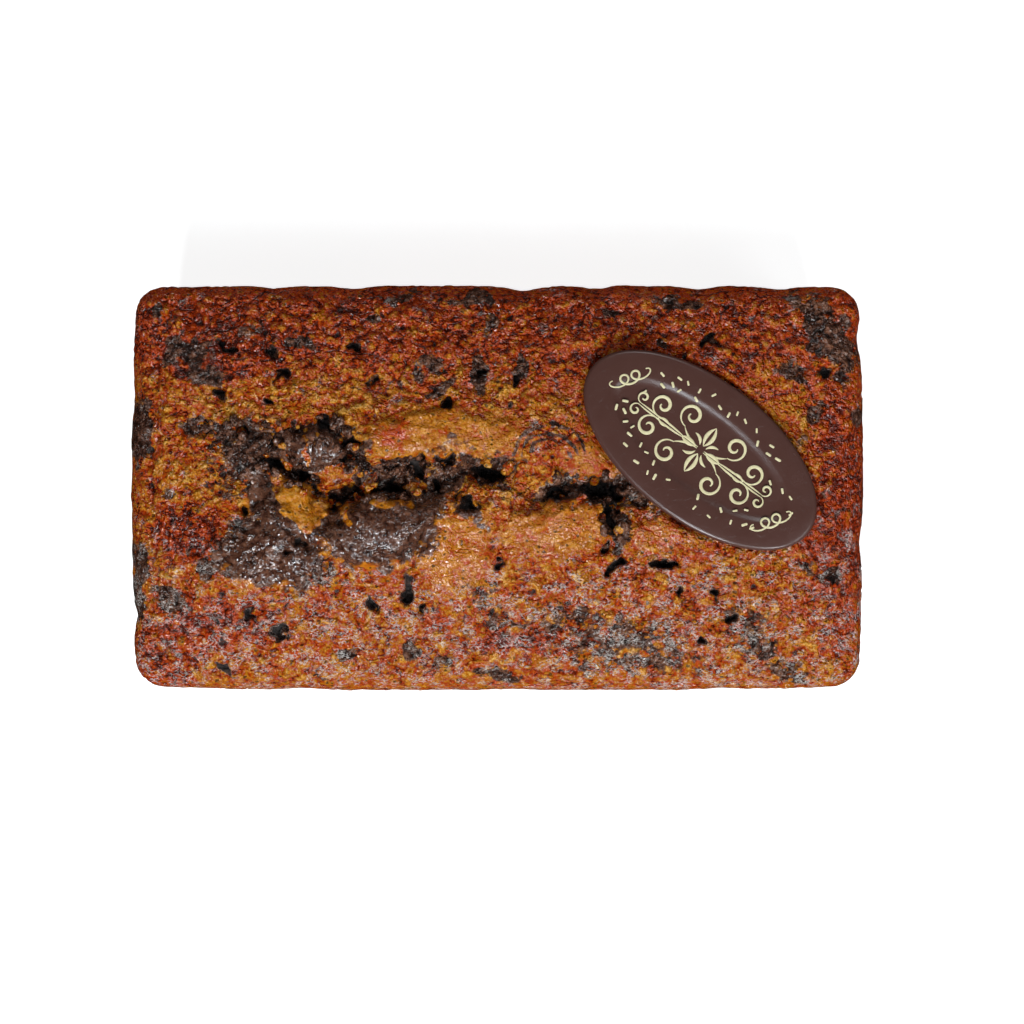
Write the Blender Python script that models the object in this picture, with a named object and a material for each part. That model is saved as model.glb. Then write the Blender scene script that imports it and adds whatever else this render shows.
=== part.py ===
"""Marble loaf cake with an oval chocolate plaque on top, in metres, +Z up.

The loaf stands on its flat base with the origin under its middle. Its length runs along X.
Both pieces are closed solids: the cake is one mesh that a height rule shapes, and the plaque
is a moulded oval that lies on the crust.
"""

import math

import bmesh
import bpy
import numpy as np
from mathutils import Matrix, Vector

MM = 0.001

# Driving sizes of the loaf
LENGTH = 0.1764
WIDTH = 0.0975
SHOULDER_HEIGHT = 0.0525
CROWN_RISE = 0.0115
CORNER_RADIUS = 0.0066
RIM_ROUNDING = 0.0046

# The corners are drawn in from the straight outline by these amounts
END_BOW = 0.0012
BACK_BOW = 0.0004
FRONT_BOW = 0.0011

# Mesh of the loaf: cells over the top, closer together at the tear and the rim, and rows down the sides
CELLS_ALONG = 78
CELLS_ACROSS = 42
CROWDING_ALONG = 0.02
CROWDING_ACROSS = 0.05
# Side rows from the rim down: height as a share of the rim's, and step in from the rim
SIDE_ROWS = (
    (0.92, 0.0005),
    (0.72, 0.0015),
    (0.42, 0.0031),
    (0.12, 0.0048),
    (0.03, 0.0055),
    (0.0, 0.0070),
)
PLEAT_FADE_TO_BASE = 0.45

# Shape of the dome: the larger the power, the flatter its middle
DOME_POWER_ALONG = 6.0
DOME_POWER_ACROSS = 2.6

# Pleats that the paper left in the sides: x, y, depth and half width, in millimetres
PLEATS = (
    (-54.0, 48.0, 0.6, 4.0),
    (-35.5, 48.0, 0.7, 4.5),
    (6.5, 48.0, 1.1, 5.0),
    (23.5, 48.0, 0.8, 3.5),
    (48.5, 48.0, 0.8, 4.0),
    (69.0, 48.0, 0.7, 4.5),
    (88.0, 36.0, 0.8, 4.0),
    (88.0, -13.5, 0.8, 4.5),
    (-88.0, -31.0, 0.9, 3.0),
    (-88.0, 22.0, 0.5, 4.0),
    (-47.0, -48.0, 0.4, 5.0),
    (2.0, -48.0, 0.35, 5.0),
    (55.0, -48.0, 0.45, 5.0),
)

# Tears in the top crust: x, y, half width and depth at each station, in millimetres
MAIN_TEAR = (
    (-56.5, 8.6, 1.2, 2.0),
    (-51.5, 5.3, 1.8, 5.0),
    (-46.2, 2.9, 1.7, 6.5),
    (-40.2, -0.5, 1.6, 7.0),
    (-35.9, -1.7, 1.7, 7.5),
    (-30.1, 1.9, 2.6, 6.5),
    (-23.4, 2.2, 3.4, 7.5),
    (-13.8, 1.6, 2.9, 8.5),
    (-1.8, 2.9, 2.0, 8.5),
    (7.8, 1.0, 1.8, 4.0),
    (16.2, -0.7, 1.7, 7.5),
    (25.8, -1.0, 2.3, 8.5),
    (34.2, -1.0, 1.5, 5.0),
    (43.8, -2.9, 1.0, 1.0),
)
UPPER_TEAR = (
    (-70.2, 14.4, 0.9, 1.0),
    (-64.7, 13.0, 1.5, 3.0),
    (-56.5, 12.5, 1.2, 2.8),
    (-47.4, 13.0, 1.3, 3.8),
    (-40.7, 13.9, 1.7, 4.4),
    (-34.2, 10.3, 1.3, 3.2),
    (-31.5, 5.0, 1.6, 5.0),
)
SIDE_TEAR = (
    (25.3, -2.9, 1.5, 6.5),
    (27.0, -8.2, 1.4, 5.0),
    (28.9, -13.7, 1.2, 2.0),
)
SHORT_TEARS = (
    ((-22.3, -20.8, 1.0, 3.6), (-22.8, -27.0, 1.1, 3.6)),
    ((-66.5, 35.3, 0.7, 1.6), (-62.6, 33.2, 0.9, 2.4)),
    ((36.3, -18.5, 1.3, 3.0), (42.3, -18.9, 1.4, 3.0)),
    ((77.5, 29.5, 1.0, 2.6), (78.5, 26.5, 1.0, 2.6)),
    ((-68.6, -42.8, 0.9, 1.2), (-65.5, -44.4, 0.9, 1.2)),
)
TEAR_EDGE_INSIDE = 0.55
TEAR_EDGE_OUTSIDE = 1.35

# The opened crust beside the main tear lies lower, as a trough: half width and depth
TROUGH_HALF_WIDTH = 5.2
TROUGH_DEPTH = 1.5

# Raised slabs of crust: x, y, radius along, radius across, turn in degrees, rise, in millimetres
SLABS = (
    (-52.2, -12.8, 14.0, 8.4, -6.0, 1.1),
    (-26.3, -7.9, 13.0, 7.8, 24.0, 1.7),
    (-43.8, 9.1, 10.0, 3.2, 0.0, 0.9),
    (-46.9, -3.0, 5.0, 4.6, 0.0, 0.8),
    (-13.5, 11.8, 19.5, 6.2, 4.0, 1.3),
    (-10.2, -15.0, 10.0, 12.5, 0.0, 1.0),
    (13.8, -10.1, 13.0, 7.6, 8.0, 1.1),
    (36.6, -13.2, 10.0, 5.0, -10.0, 0.7),
    (14.5, 14.4, 10.0, 6.0, -20.0, 0.6),
)
SLAB_EDGE = 0.16

# Bubble holes in the crust: x, y, radius and depth, in millimetres
HOLES = (
    (-54.8, 33.6, 1.1, 2.0),
    (-51.4, 27.5, 1.3, 2.6),
    (-67.3, 22.1, 1.4, 1.8),
    (-55.1, 19.4, 1.3, 1.8),
    (-34.0, 34.3, 1.2, 1.9),
    (-29.9, 25.1, 1.2, 2.4),
    (-4.4, 28.3, 1.5, 2.6),
    (5.6, 25.4, 1.5, 2.2),
    (-10.9, 19.5, 1.5, 2.2),
    (2.8, 19.7, 1.1, 1.6),
    (-60.1, -4.6, 1.2, 1.9),
    (-50.5, -15.6, 1.3, 1.6),
    (1.6, -17.5, 1.2, 2.0),
    (28.0, -18.4, 1.2, 2.2),
    (26.5, -13.4, 1.1, 2.0),
    (-59.0, -29.5, 1.3, 2.0),
    (-52.1, -34.5, 1.8, 2.0),
    (-18.2, -28.0, 1.3, 2.4),
    (-30.4, -28.6, 1.3, 1.8),
    (43.6, -24.2, 1.2, 2.0),
    (52.2, -25.0, 1.7, 3.2),
    (57.2, -31.2, 1.2, 2.4),
    (49.8, -37.2, 1.3, 2.0),
    (79.8, -22.1, 1.2, 2.0),
    (50.8, 35.0, 1.2, 2.0),
)

# Shallow crease along the left end, where the crust meets the side
CREASE = ((-81.8, 38.0, 1.2, 0.7), (-83.2, 5.0, 1.4, 0.8), (-82.6, -35.0, 1.2, 0.7))

# Lumps of the crumb: wavelength and height of each layer, in millimetres
LUMPS = ((17.0, 0.65), (7.5, 0.55), (4.2, 0.35))
TEAR_WANDER = ((6.0, 1.5), (2.6, 0.9))
LUMP_SEED = 11
WANDER_SEED = 37

# The plaque: a moulded oval of chocolate that lies across the right half of the crust
PLAQUE_LENGTH = 0.065
PLAQUE_WIDTH = 0.034
PLAQUE_CENTRE = (0.0481, 0.0088)
PLAQUE_TURN = math.radians(-37.3)
PLAQUE_LIFT = -0.0003
PLAQUE_GAP = 0.0003
PLAQUE_BED_MARGIN = 0.0025
PLAQUE_SEGMENTS = 48
# Rings of the plaque from its underside to the floor of its dish: step in, and height
PLAQUE_RINGS = (
    (0.0012, 0.0),
    (0.0003, 0.0004),
    (0.0, 0.0011),
    (0.0002, 0.0018),
    (0.0007, 0.0024),
    (0.0015, 0.0027),
    (0.0048, 0.0026),
    (0.0064, 0.00225),
    (0.0100, 0.0021),
)


def clear_scene():
    for obj in list(bpy.data.objects):
        bpy.data.objects.remove(obj, do_unlink=True)


def smoothstep(low, high, value):
    t = np.clip((value - low) / (high - low), 0.0, 1.0)
    return t * t * (3.0 - 2.0 * t)


def lattice_value(ix, iy, seed):
    """A repeatable number from -1 to 1 for each lattice point."""
    h = (ix * 374761393 + iy * 668265263 + seed * 974711) & 0xFFFFFFFF
    h = ((h ^ (h >> 13)) * 1274126177) & 0xFFFFFFFF
    h = (h ^ (h >> 16)) & 0xFFFFFFFF
    return h / 2147483647.5 - 1.0


def noise(x, y, wavelength, seed):
    """Smooth value noise over the plan, from -1 to 1. The wavelength has the unit of x and y."""
    gx, gy = x / wavelength, y / wavelength
    ix, iy = np.floor(gx).astype(np.int64), np.floor(gy).astype(np.int64)
    tx, ty = smoothstep(0.0, 1.0, gx - ix), smoothstep(0.0, 1.0, gy - iy)
    near = lattice_value(ix, iy, seed) * (1 - tx) + lattice_value(ix + 1, iy, seed) * tx
    far = lattice_value(ix, iy + 1, seed) * (1 - tx) + lattice_value(ix + 1, iy + 1, seed) * tx
    return near * (1 - ty) + far * ty


def inside_distance(x, y):
    """Distance in from the straight rounded outline, in metres."""
    qx = np.abs(x) - (LENGTH / 2 - CORNER_RADIUS)
    qy = np.abs(y) - (WIDTH / 2 - CORNER_RADIUS)
    outer = np.hypot(np.maximum(qx, 0.0), np.maximum(qy, 0.0))
    return CORNER_RADIUS - outer - np.minimum(np.maximum(qx, qy), 0.0)


def dome(x, y):
    """Height of the smooth crown over the shoulder."""
    along = 1.0 - np.minimum(np.abs(2.0 * x / LENGTH), 1.0) ** DOME_POWER_ALONG
    across = 1.0 - np.minimum(np.abs(2.0 * y / WIDTH), 1.0) ** DOME_POWER_ACROSS
    return CROWN_RISE * along * across


def rim_drop(x, y):
    """How far the rounded rim falls below the shoulder."""
    near = np.clip(RIM_ROUNDING - inside_distance(x, y), 0.0, RIM_ROUNDING)
    return RIM_ROUNDING - np.sqrt(RIM_ROUNDING**2 - near**2)


def groove(x, y, stations, inside=TEAR_EDGE_INSIDE, outside=TEAR_EDGE_OUTSIDE):
    """Depth in millimetres of a groove through its stations, for x and y in millimetres."""
    deepest = np.zeros_like(x)
    for (ax, ay, aw, ad), (bx, by, bw, bd) in zip(stations, stations[1:]):
        run = (bx - ax) ** 2 + (by - ay) ** 2
        t = np.clip(((x - ax) * (bx - ax) + (y - ay) * (by - ay)) / run, 0.0, 1.0)
        away = np.hypot(x - ax - t * (bx - ax), y - ay - t * (by - ay))
        share = away / (aw + t * (bw - aw))
        depth = (ad + t * (bd - ad)) * (1.0 - smoothstep(inside, outside, share))
        deepest = np.maximum(deepest, depth)
    return deepest


def slabs(x, y):
    """Rise in millimetres of the raised slabs of crust."""
    rise = np.zeros_like(x)
    for cx, cy, along, across, turn, height in SLABS:
        c, s = math.cos(math.radians(turn)), math.sin(math.radians(turn))
        u = ((x - cx) * c + (y - cy) * s) / along
        v = ((y - cy) * c - (x - cx) * s) / across
        rise += height * (1.0 - smoothstep(1.0 - SLAB_EDGE, 1.0 + SLAB_EDGE, np.hypot(u, v)))
    return rise


def holes(x, y):
    """Depth in millimetres of the bubble holes."""
    depth = np.zeros_like(x)
    for cx, cy, radius, deep in HOLES:
        depth = np.maximum(depth, deep * (1.0 - smoothstep(0.5, 1.5, np.hypot(x - cx, y - cy) / radius)))
    return depth


def relief(x, y):
    """Height of slabs, tears, holes and lumps over the smooth top, in metres."""
    x, y = x / MM, y / MM
    wx, wy = x.copy(), y.copy()
    for layer, (wavelength, reach) in enumerate(TEAR_WANDER):
        wx += reach * noise(x, y, wavelength, WANDER_SEED + layer)
        wy += reach * noise(x, y, wavelength, WANDER_SEED + 7 + layer)
    height = slabs(wx, wy)
    for layer, (wavelength, rise) in enumerate(LUMPS):
        height += rise * noise(x, y, wavelength, LUMP_SEED + layer)
    trough = tuple((sx, sy, TROUGH_HALF_WIDTH, TROUGH_DEPTH) for sx, sy, _, _ in MAIN_TEAR[1:-1])
    height -= groove(wx, wy, trough, 0.3, 1.4)
    cut = np.maximum(groove(wx, wy, MAIN_TEAR), groove(wx, wy, UPPER_TEAR))
    cut = np.maximum(cut, groove(wx, wy, SIDE_TEAR))
    for stations in SHORT_TEARS:
        cut = np.maximum(cut, groove(wx, wy, stations))
    height -= np.maximum(cut, holes(wx, wy)) + groove(wx, y, CREASE)
    return height * MM


def plaque_frame():
    """The plaque's matrix: it lies on the plane that best fits the dome below its oval."""
    cx, cy = PLAQUE_CENTRE
    angles = np.arange(PLAQUE_SEGMENTS) * 2.0 * math.pi / PLAQUE_SEGMENTS
    u, v = np.cos(angles) * PLAQUE_LENGTH / 2, np.sin(angles) * PLAQUE_WIDTH / 2
    x = cx + u * math.cos(PLAQUE_TURN) - v * math.sin(PLAQUE_TURN)
    y = cy + u * math.sin(PLAQUE_TURN) + v * math.cos(PLAQUE_TURN)
    columns = np.stack([x - cx, y - cy, np.ones_like(x)], axis=1)
    slope_x, slope_y, height = np.linalg.lstsq(columns, dome(x, y), rcond=None)[0]
    up = Vector((-slope_x, -slope_y, 1.0)).normalized()
    along = Vector((math.cos(PLAQUE_TURN), math.sin(PLAQUE_TURN), 0.0))
    along = (along - up * along.dot(up)).normalized()
    turn = Matrix((along, up.cross(along), up)).transposed().to_4x4()
    return Matrix.Translation((cx, cy, SHOULDER_HEIGHT + height + PLAQUE_LIFT)) @ turn


def press_under_plaque(x, y, z):
    """The crust gives way under the plaque, so that the plaque lies on it with a fine gap."""
    frame = plaque_frame()
    origin, up = frame.translation, frame.col[2]
    bed = origin.z - ((x - origin.x) * up.x + (y - origin.y) * up.y) / up.z - PLAQUE_GAP
    back = frame.inverted()
    u = back[0][0] * x + back[0][1] * y + back[0][2] * bed + back[0][3]
    v = back[1][0] * x + back[1][1] * y + back[1][2] * bed + back[1][3]
    half_length, half_width = PLAQUE_LENGTH / 2 + PLAQUE_BED_MARGIN, PLAQUE_WIDTH / 2 + PLAQUE_BED_MARGIN
    return np.where(np.hypot(u / half_length, v / half_width) < 1.0, np.minimum(z, bed), z)


def rounded_plan(x, y):
    """Moves points of the square grid so that its corners become round."""
    qx = np.clip(x, -(LENGTH / 2 - CORNER_RADIUS), LENGTH / 2 - CORNER_RADIUS)
    qy = np.clip(y, -(WIDTH / 2 - CORNER_RADIUS), WIDTH / 2 - CORNER_RADIUS)
    dx, dy = x - qx, y - qy
    length = np.hypot(dx, dy)
    scale = np.where(length > 0, np.maximum(np.abs(dx), np.abs(dy)) / np.maximum(length, 1e-12), 1.0)
    return qx + dx * scale, qy + dy * scale


def crowded(share, crowding):
    """Moves grid lines, given as shares from -1 to 1, closer together at the middle and both ends."""
    return share - crowding * np.sin(2.0 * math.pi * share)


def bent_to_tear(x, y):
    """Bends the grid's long rows so that the middle ones follow the main tear."""
    stations = np.array(MAIN_TEAR) * MM
    reach = (1.0 - np.abs(2.0 * y / WIDTH)) ** 2 * (1.0 - (2.0 * x / LENGTH) ** 4)
    return y + np.interp(x, stations[:, 0], stations[:, 1]) * reach


def outline_pull(x, y, step, pleat_share):
    """Pulls points in for the bowed outline, the pleats and the taper of the side rows."""
    u, v = 2.0 * x / LENGTH, 2.0 * y / WIDTH
    qx = np.clip(x, -(LENGTH / 2 - CORNER_RADIUS), LENGTH / 2 - CORNER_RADIUS)
    qy = np.clip(y, -(WIDTH / 2 - CORNER_RADIUS), WIDTH / 2 - CORNER_RADIUS)
    nx, ny = x - qx, y - qy
    length = np.maximum(np.hypot(nx, ny), 1e-12)
    pleat = np.zeros_like(x)
    for px, py, depth, half_width in PLEATS:
        away = np.hypot(x / MM - px, y / MM - py) / half_width
        pleat += depth * MM * np.exp(-(away**2))
    pull = pleat * pleat_share
    pull_x = END_BOW * v**2 * u + step * u
    pull_y = np.where(y > 0, BACK_BOW, FRONT_BOW) * u**4 * v + step * v
    return x - nx / length * pull - pull_x, y - ny / length * pull - pull_y


def build_cake(material):
    bm = bmesh.new()
    bmesh.ops.create_grid(bm, x_segments=CELLS_ALONG, y_segments=CELLS_ACROSS, size=1.0)
    top = list(bm.verts)
    plan = {}
    for vert in top:
        x = crowded(vert.co.x, CROWDING_ALONG) * LENGTH / 2
        y = crowded(vert.co.y, CROWDING_ACROSS) * WIDTH / 2
        plan[vert] = (x, bent_to_tear(x, y))
    row = {v: 0 for v in top}
    edges = [e for e in bm.edges if e.is_boundary]
    for number in range(1, len(SIDE_ROWS) + 1):
        grown = bmesh.ops.extrude_edge_only(bm, edges=edges)["geom"]
        fresh = [g for g in grown if isinstance(g, bmesh.types.BMVert)]
        for vert in fresh:
            above = min((e.other_vert(vert) for e in vert.link_edges if e.other_vert(vert) in row),
                        key=lambda other: (other.co - vert.co).length)
            plan[vert] = plan[above]
        for vert in fresh:
            row[vert] = number
        edges = [g for g in grown if isinstance(g, bmesh.types.BMEdge)]
    bmesh.ops.contextual_create(bm, geom=edges)

    verts = list(bm.verts)
    x, y = rounded_plan(*np.array([plan[v] for v in verts]).T)
    level = np.array([row[v] for v in verts])
    shares = np.array([1.0] + [share for share, _ in SIDE_ROWS])[level]
    steps = np.array([0.0] + [step for _, step in SIDE_ROWS])[level]
    foot = SHOULDER_HEIGHT - RIM_ROUNDING
    fade = smoothstep(0.0, RIM_ROUNDING, inside_distance(x, y))
    surface = SHOULDER_HEIGHT + dome(x, y) - rim_drop(x, y) + relief(x, y) * fade
    surface = press_under_plaque(x, y, surface)
    z = np.where(level == 0, surface, foot * shares)
    pleat_share = PLEAT_FADE_TO_BASE + (1.0 - PLEAT_FADE_TO_BASE) * shares
    x, y = outline_pull(x, y, steps, pleat_share)
    for vert, px, py, pz in zip(verts, x, y, z):
        vert.co = (px, py, pz)
    bmesh.ops.recalc_face_normals(bm, faces=list(bm.faces))
    return finish("cake", bm, material, Matrix.Identity(4))


def build_plaque(material):
    bm = bmesh.new()
    rings = []
    for inset, height in PLAQUE_RINGS:
        angles = [2.0 * math.pi * k / PLAQUE_SEGMENTS for k in range(PLAQUE_SEGMENTS)]
        half_length, half_width = PLAQUE_LENGTH / 2 - inset, PLAQUE_WIDTH / 2 - inset
        ring = [bm.verts.new((half_length * math.cos(a), half_width * math.sin(a), height)) for a in angles]
        rings.append([bm.edges.new((ring[k - 1], ring[k])) for k in range(PLAQUE_SEGMENTS)])
    for lower, upper in zip(rings, rings[1:]):
        bmesh.ops.bridge_loops(bm, edges=lower + upper)
    bmesh.ops.contextual_create(bm, geom=rings[0])
    bmesh.ops.contextual_create(bm, geom=rings[-1])
    bmesh.ops.recalc_face_normals(bm, faces=list(bm.faces))
    return finish("plaque", bm, material, plaque_frame())


def finish(name, bm, material, matrix):
    mesh = bpy.data.meshes.new(name)
    bm.to_mesh(mesh)
    bm.free()
    mesh.materials.append(material)
    mesh.shade_smooth()
    obj = bpy.data.objects.new(name, mesh)
    obj.matrix_world = matrix
    bpy.context.scene.collection.objects.link(obj)
    return obj


def food_material(name, colour, roughness):
    material = bpy.data.materials.new(name)
    material.use_nodes = True
    shader = material.node_tree.nodes["Principled BSDF"]
    shader.inputs["Base Color"].default_value = (*colour, 1.0)
    shader.inputs["Roughness"].default_value = roughness
    shader.inputs["Metallic"].default_value = 0.0
    return material


def main():
    clear_scene()
    build_cake(food_material("baked_crust", (0.27, 0.10, 0.035), 0.55))
    build_plaque(food_material("dark_chocolate", (0.09, 0.04, 0.028), 0.25))


main()
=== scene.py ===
"""Looks of the marble loaf cake: its torn and marbled crust, the chocolate plaque and its print.

Everything is in metres with +Z up, apart from the tables and fields of the crust and the tables of the
print, which say millimetres.
The loaf's length runs along X, and its back long side faces +Y.
"""

import itertools
import math
import random

import bpy
import numpy as np
from mathutils import Euler, Matrix, Vector


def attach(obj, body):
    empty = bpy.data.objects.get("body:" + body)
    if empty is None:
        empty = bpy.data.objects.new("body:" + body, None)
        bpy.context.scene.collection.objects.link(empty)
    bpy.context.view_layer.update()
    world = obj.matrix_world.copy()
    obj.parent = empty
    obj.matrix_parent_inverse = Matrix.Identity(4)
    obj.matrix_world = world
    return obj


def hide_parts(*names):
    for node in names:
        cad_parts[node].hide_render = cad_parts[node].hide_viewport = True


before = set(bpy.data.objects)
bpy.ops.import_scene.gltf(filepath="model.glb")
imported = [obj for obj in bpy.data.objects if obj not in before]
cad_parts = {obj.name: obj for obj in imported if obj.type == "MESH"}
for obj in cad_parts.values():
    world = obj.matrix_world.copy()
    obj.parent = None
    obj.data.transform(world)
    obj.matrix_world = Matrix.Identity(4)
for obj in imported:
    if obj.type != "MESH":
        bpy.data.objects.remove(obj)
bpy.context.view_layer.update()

MM = 0.001

# Driving sizes of the loaf
LENGTH = 0.1764
WIDTH = 0.0975
SHOULDER_HEIGHT = 0.0525
CROWN_RISE = 0.0115
CORNER_RADIUS = 0.0066
RIM_ROUNDING = 0.0046
FOOT_ROUNDING = 0.0016
DOME_POWER_ALONG = 6.0
DOME_POWER_ACROSS = 2.6

# The outline bows: its corners are drawn in by these amounts
END_BOW = 0.0012
BACK_BOW = 0.0004
FRONT_BOW = 0.0011

# Taper of the sides: height as a share of the rim's, and step in from the rim
TAPER = ((0.0, 0.0056), (0.12, 0.0048), (0.42, 0.0031), (0.72, 0.0015), (0.92, 0.0005), (1.0, 0.0))
PLEAT_FADE_TO_BASE = 0.45

# Pleats that the paper left in the sides: x, y, depth and half width, in millimetres
PLEATS = (
    (-54.0, 48.0, 0.6, 4.0),
    (-35.5, 48.0, 0.7, 4.5),
    (6.5, 48.0, 1.1, 5.0),
    (23.5, 48.0, 0.8, 3.5),
    (48.5, 48.0, 0.8, 4.0),
    (69.0, 48.0, 0.7, 4.5),
    (88.0, 36.0, 0.8, 4.0),
    (88.0, -13.5, 0.8, 4.5),
    (-88.0, -31.0, 0.9, 3.0),
    (-88.0, 22.0, 0.5, 4.0),
    (-47.0, -48.0, 0.4, 5.0),
    (2.0, -48.0, 0.35, 5.0),
    (55.0, -48.0, 0.45, 5.0),
)

# Tears in the top crust: x, y, half width and depth at each station, in millimetres
MAIN_TEAR = (
    (-56.5, 8.6, 1.2, 2.0),
    (-51.5, 5.3, 1.8, 5.0),
    (-46.2, 2.9, 1.7, 6.5),
    (-40.2, -0.5, 1.6, 7.0),
    (-35.9, -1.7, 1.7, 7.5),
    (-30.1, 1.9, 2.6, 6.5),
    (-23.4, 2.2, 3.4, 7.5),
    (-13.8, 1.6, 2.9, 8.5),
    (-1.8, 2.9, 2.0, 8.5),
    (7.8, 1.0, 1.8, 4.0),
    (16.2, -0.7, 1.7, 7.5),
    (25.8, -1.0, 2.3, 8.5),
    (34.2, -1.0, 1.5, 5.0),
    (43.8, -2.9, 1.0, 1.0),
)
UPPER_TEAR = (
    (-70.2, 14.4, 0.9, 1.0),
    (-64.7, 13.0, 1.5, 3.0),
    (-56.5, 12.5, 1.2, 2.8),
    (-47.4, 13.0, 1.3, 3.8),
    (-40.7, 13.9, 1.7, 4.4),
    (-34.2, 10.3, 1.3, 3.2),
    (-31.5, 5.0, 1.6, 5.0),
)
SIDE_TEAR = (
    (25.3, -2.9, 1.5, 6.5),
    (27.0, -8.2, 1.4, 5.0),
    (28.9, -13.7, 1.2, 2.0),
)
SHORT_TEARS = (
    ((-22.3, -20.8, 1.0, 4.6), (-22.8, -27.0, 1.1, 4.6)),
    ((-66.5, 35.3, 0.6, 2.0), (-62.6, 33.2, 0.8, 2.8)),
    ((36.3, -18.5, 0.9, 4.0), (42.3, -18.9, 1.0, 4.0)),
    ((77.5, 29.5, 0.9, 3.0), (78.5, 26.5, 0.9, 3.0)),
    ((-68.6, -42.8, 0.9, 1.2), (-65.5, -44.4, 0.9, 1.2)),
)
TEAR_EDGE_INSIDE = 0.55
TEAR_EDGE_OUTSIDE = 1.35

# The opened crust beside the main tear lies lower, as a trough: half width and depth, in millimetres
TROUGH_HALF_WIDTH = 5.2
TROUGH_DEPTH = 1.5

# Raised slabs of crust: x, y, radius along, radius across, turn in degrees, rise, in millimetres
SLABS = (
    (-52.2, -12.8, 14.0, 8.4, -6.0, 1.1),
    (-26.3, -7.9, 13.0, 7.8, 24.0, 1.7),
    (-43.8, 9.1, 10.0, 3.2, 0.0, 0.9),
    (-46.9, -3.0, 5.0, 4.6, 0.0, 0.8),
    (-13.5, 11.8, 19.5, 6.2, 4.0, 1.3),
    (-10.2, -15.0, 10.0, 12.5, 0.0, 1.0),
    (13.8, -10.1, 13.0, 7.6, 8.0, 1.1),
    (36.6, -13.2, 10.0, 5.0, -10.0, 0.7),
    (14.5, 14.4, 10.0, 6.0, -20.0, 0.6),
)
SLAB_EDGE = 0.16

# Bubble holes in the crust: x, y, radius and depth, in millimetres
HOLES = (
    (-54.8, 33.6, 1.1, 2.0),
    (-51.4, 27.5, 1.3, 2.6),
    (-67.3, 22.1, 1.4, 1.8),
    (-55.1, 19.4, 1.3, 1.8),
    (-34.0, 34.3, 1.2, 1.9),
    (-29.9, 25.1, 1.2, 2.4),
    (-4.4, 28.3, 1.5, 2.6),
    (5.6, 25.4, 1.5, 2.2),
    (-10.9, 19.5, 1.5, 2.2),
    (2.8, 19.7, 1.1, 1.6),
    (-60.1, -4.6, 1.2, 1.9),
    (-50.5, -15.6, 1.3, 1.6),
    (1.6, -17.5, 1.2, 2.0),
    (28.0, -18.4, 1.2, 2.2),
    (26.5, -13.4, 1.1, 2.0),
    (-59.0, -29.5, 1.3, 2.0),
    (-52.1, -34.5, 1.8, 2.0),
    (-18.2, -28.0, 1.3, 2.4),
    (-30.4, -28.6, 1.3, 1.8),
    (43.6, -24.2, 1.2, 2.0),
    (52.2, -25.0, 1.7, 3.2),
    (57.2, -31.2, 1.2, 2.4),
    (49.8, -37.2, 1.3, 2.0),
    (79.8, -22.1, 1.2, 2.0),
    (50.8, 35.0, 1.2, 2.0),
)

# The open holes go this much deeper than their table says
HOLE_DEEPENING = 1.8

# Shallow crease along the left end, where the crust meets the side
CREASE = ((-81.8, 38.0, 1.2, 0.7), (-83.2, 5.0, 1.4, 0.8), (-82.6, -35.0, 1.2, 0.7))

# Folds that stand up on the smooth crust: x, y, half width and height, in millimetres
FOLDS = (
    ((5.4, -10.3, 0.7, 0.5), (12.5, -7.4, 0.8, 0.7), (19.3, -5.8, 0.7, 0.5)),
    ((-31.0, 18.3, 0.8, 0.5), (-24.0, 13.5, 0.9, 0.6), (-14.0, 14.2, 0.8, 0.4)),
    ((-38.5, -8.0, 0.7, 0.5), (-36.5, -13.0, 0.8, 0.6), (-31.0, -17.0, 0.7, 0.5)),
    ((-62.0, -9.0, 0.8, 0.4), (-52.0, -11.5, 0.8, 0.5), (-44.5, -9.0, 0.7, 0.5)),
)

# The torn crumb fills the tears to a share of their depth, apart from voids that stay open
TORN_SHARE = 0.42
TORN_SPREAD = 1.35

# Voids in the tears and the crust: x, y, radius along and across, turn in degrees, depth, in millimetres
VOIDS = (
    (-2.3, 3.1, 5.2, 2.0, 0.0, 8.0),
    (-14.5, 0.2, 2.4, 2.1, 0.0, 8.0),
    (-8.3, -2.9, 3.0, 0.7, -20.0, 3.6),
    (25.1, -0.5, 4.9, 2.3, 0.0, 8.5),
    (14.5, -0.2, 2.6, 1.2, 0.0, 6.0),
    (26.8, -6.9, 1.7, 3.2, 0.0, 6.5),
    (-25.1, 0.5, 3.3, 1.9, 0.0, 7.5),
    (-36.6, -2.2, 2.7, 1.3, 20.0, 7.0),
    (-46.2, 2.6, 2.2, 1.7, -30.0, 6.5),
    (-41.6, 0.2, 2.0, 1.1, -25.0, 5.0),
    (-52.2, 5.3, 3.2, 1.3, -30.0, 5.0),
    (-40.9, 14.6, 1.7, 2.3, 0.0, 4.8),
    (-34.4, 11.3, 2.2, 1.5, 0.0, 4.5),
    (-63.7, 11.3, 1.1, 1.1, 0.0, 3.6),
    (-60.1, 13.2, 1.3, 1.1, 0.0, 3.6),
    (-34.9, 6.0, 1.9, 0.8, 0.0, 4.0),
    (-19.3, 4.8, 2.4, 1.5, 0.0, 6.0),
    (-13.3, 7.2, 1.9, 1.3, 0.0, 4.5),
    (-50.5, -15.6, 1.8, 0.8, 0.0, 3.0),
    (-46.2, -13.4, 1.1, 0.9, 0.0, 2.4),
    (39.7, -18.7, 2.9, 1.2, 4.0, 5.0),
    (27.4, -19.0, 1.2, 0.9, 0.0, 4.0),
)

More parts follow.
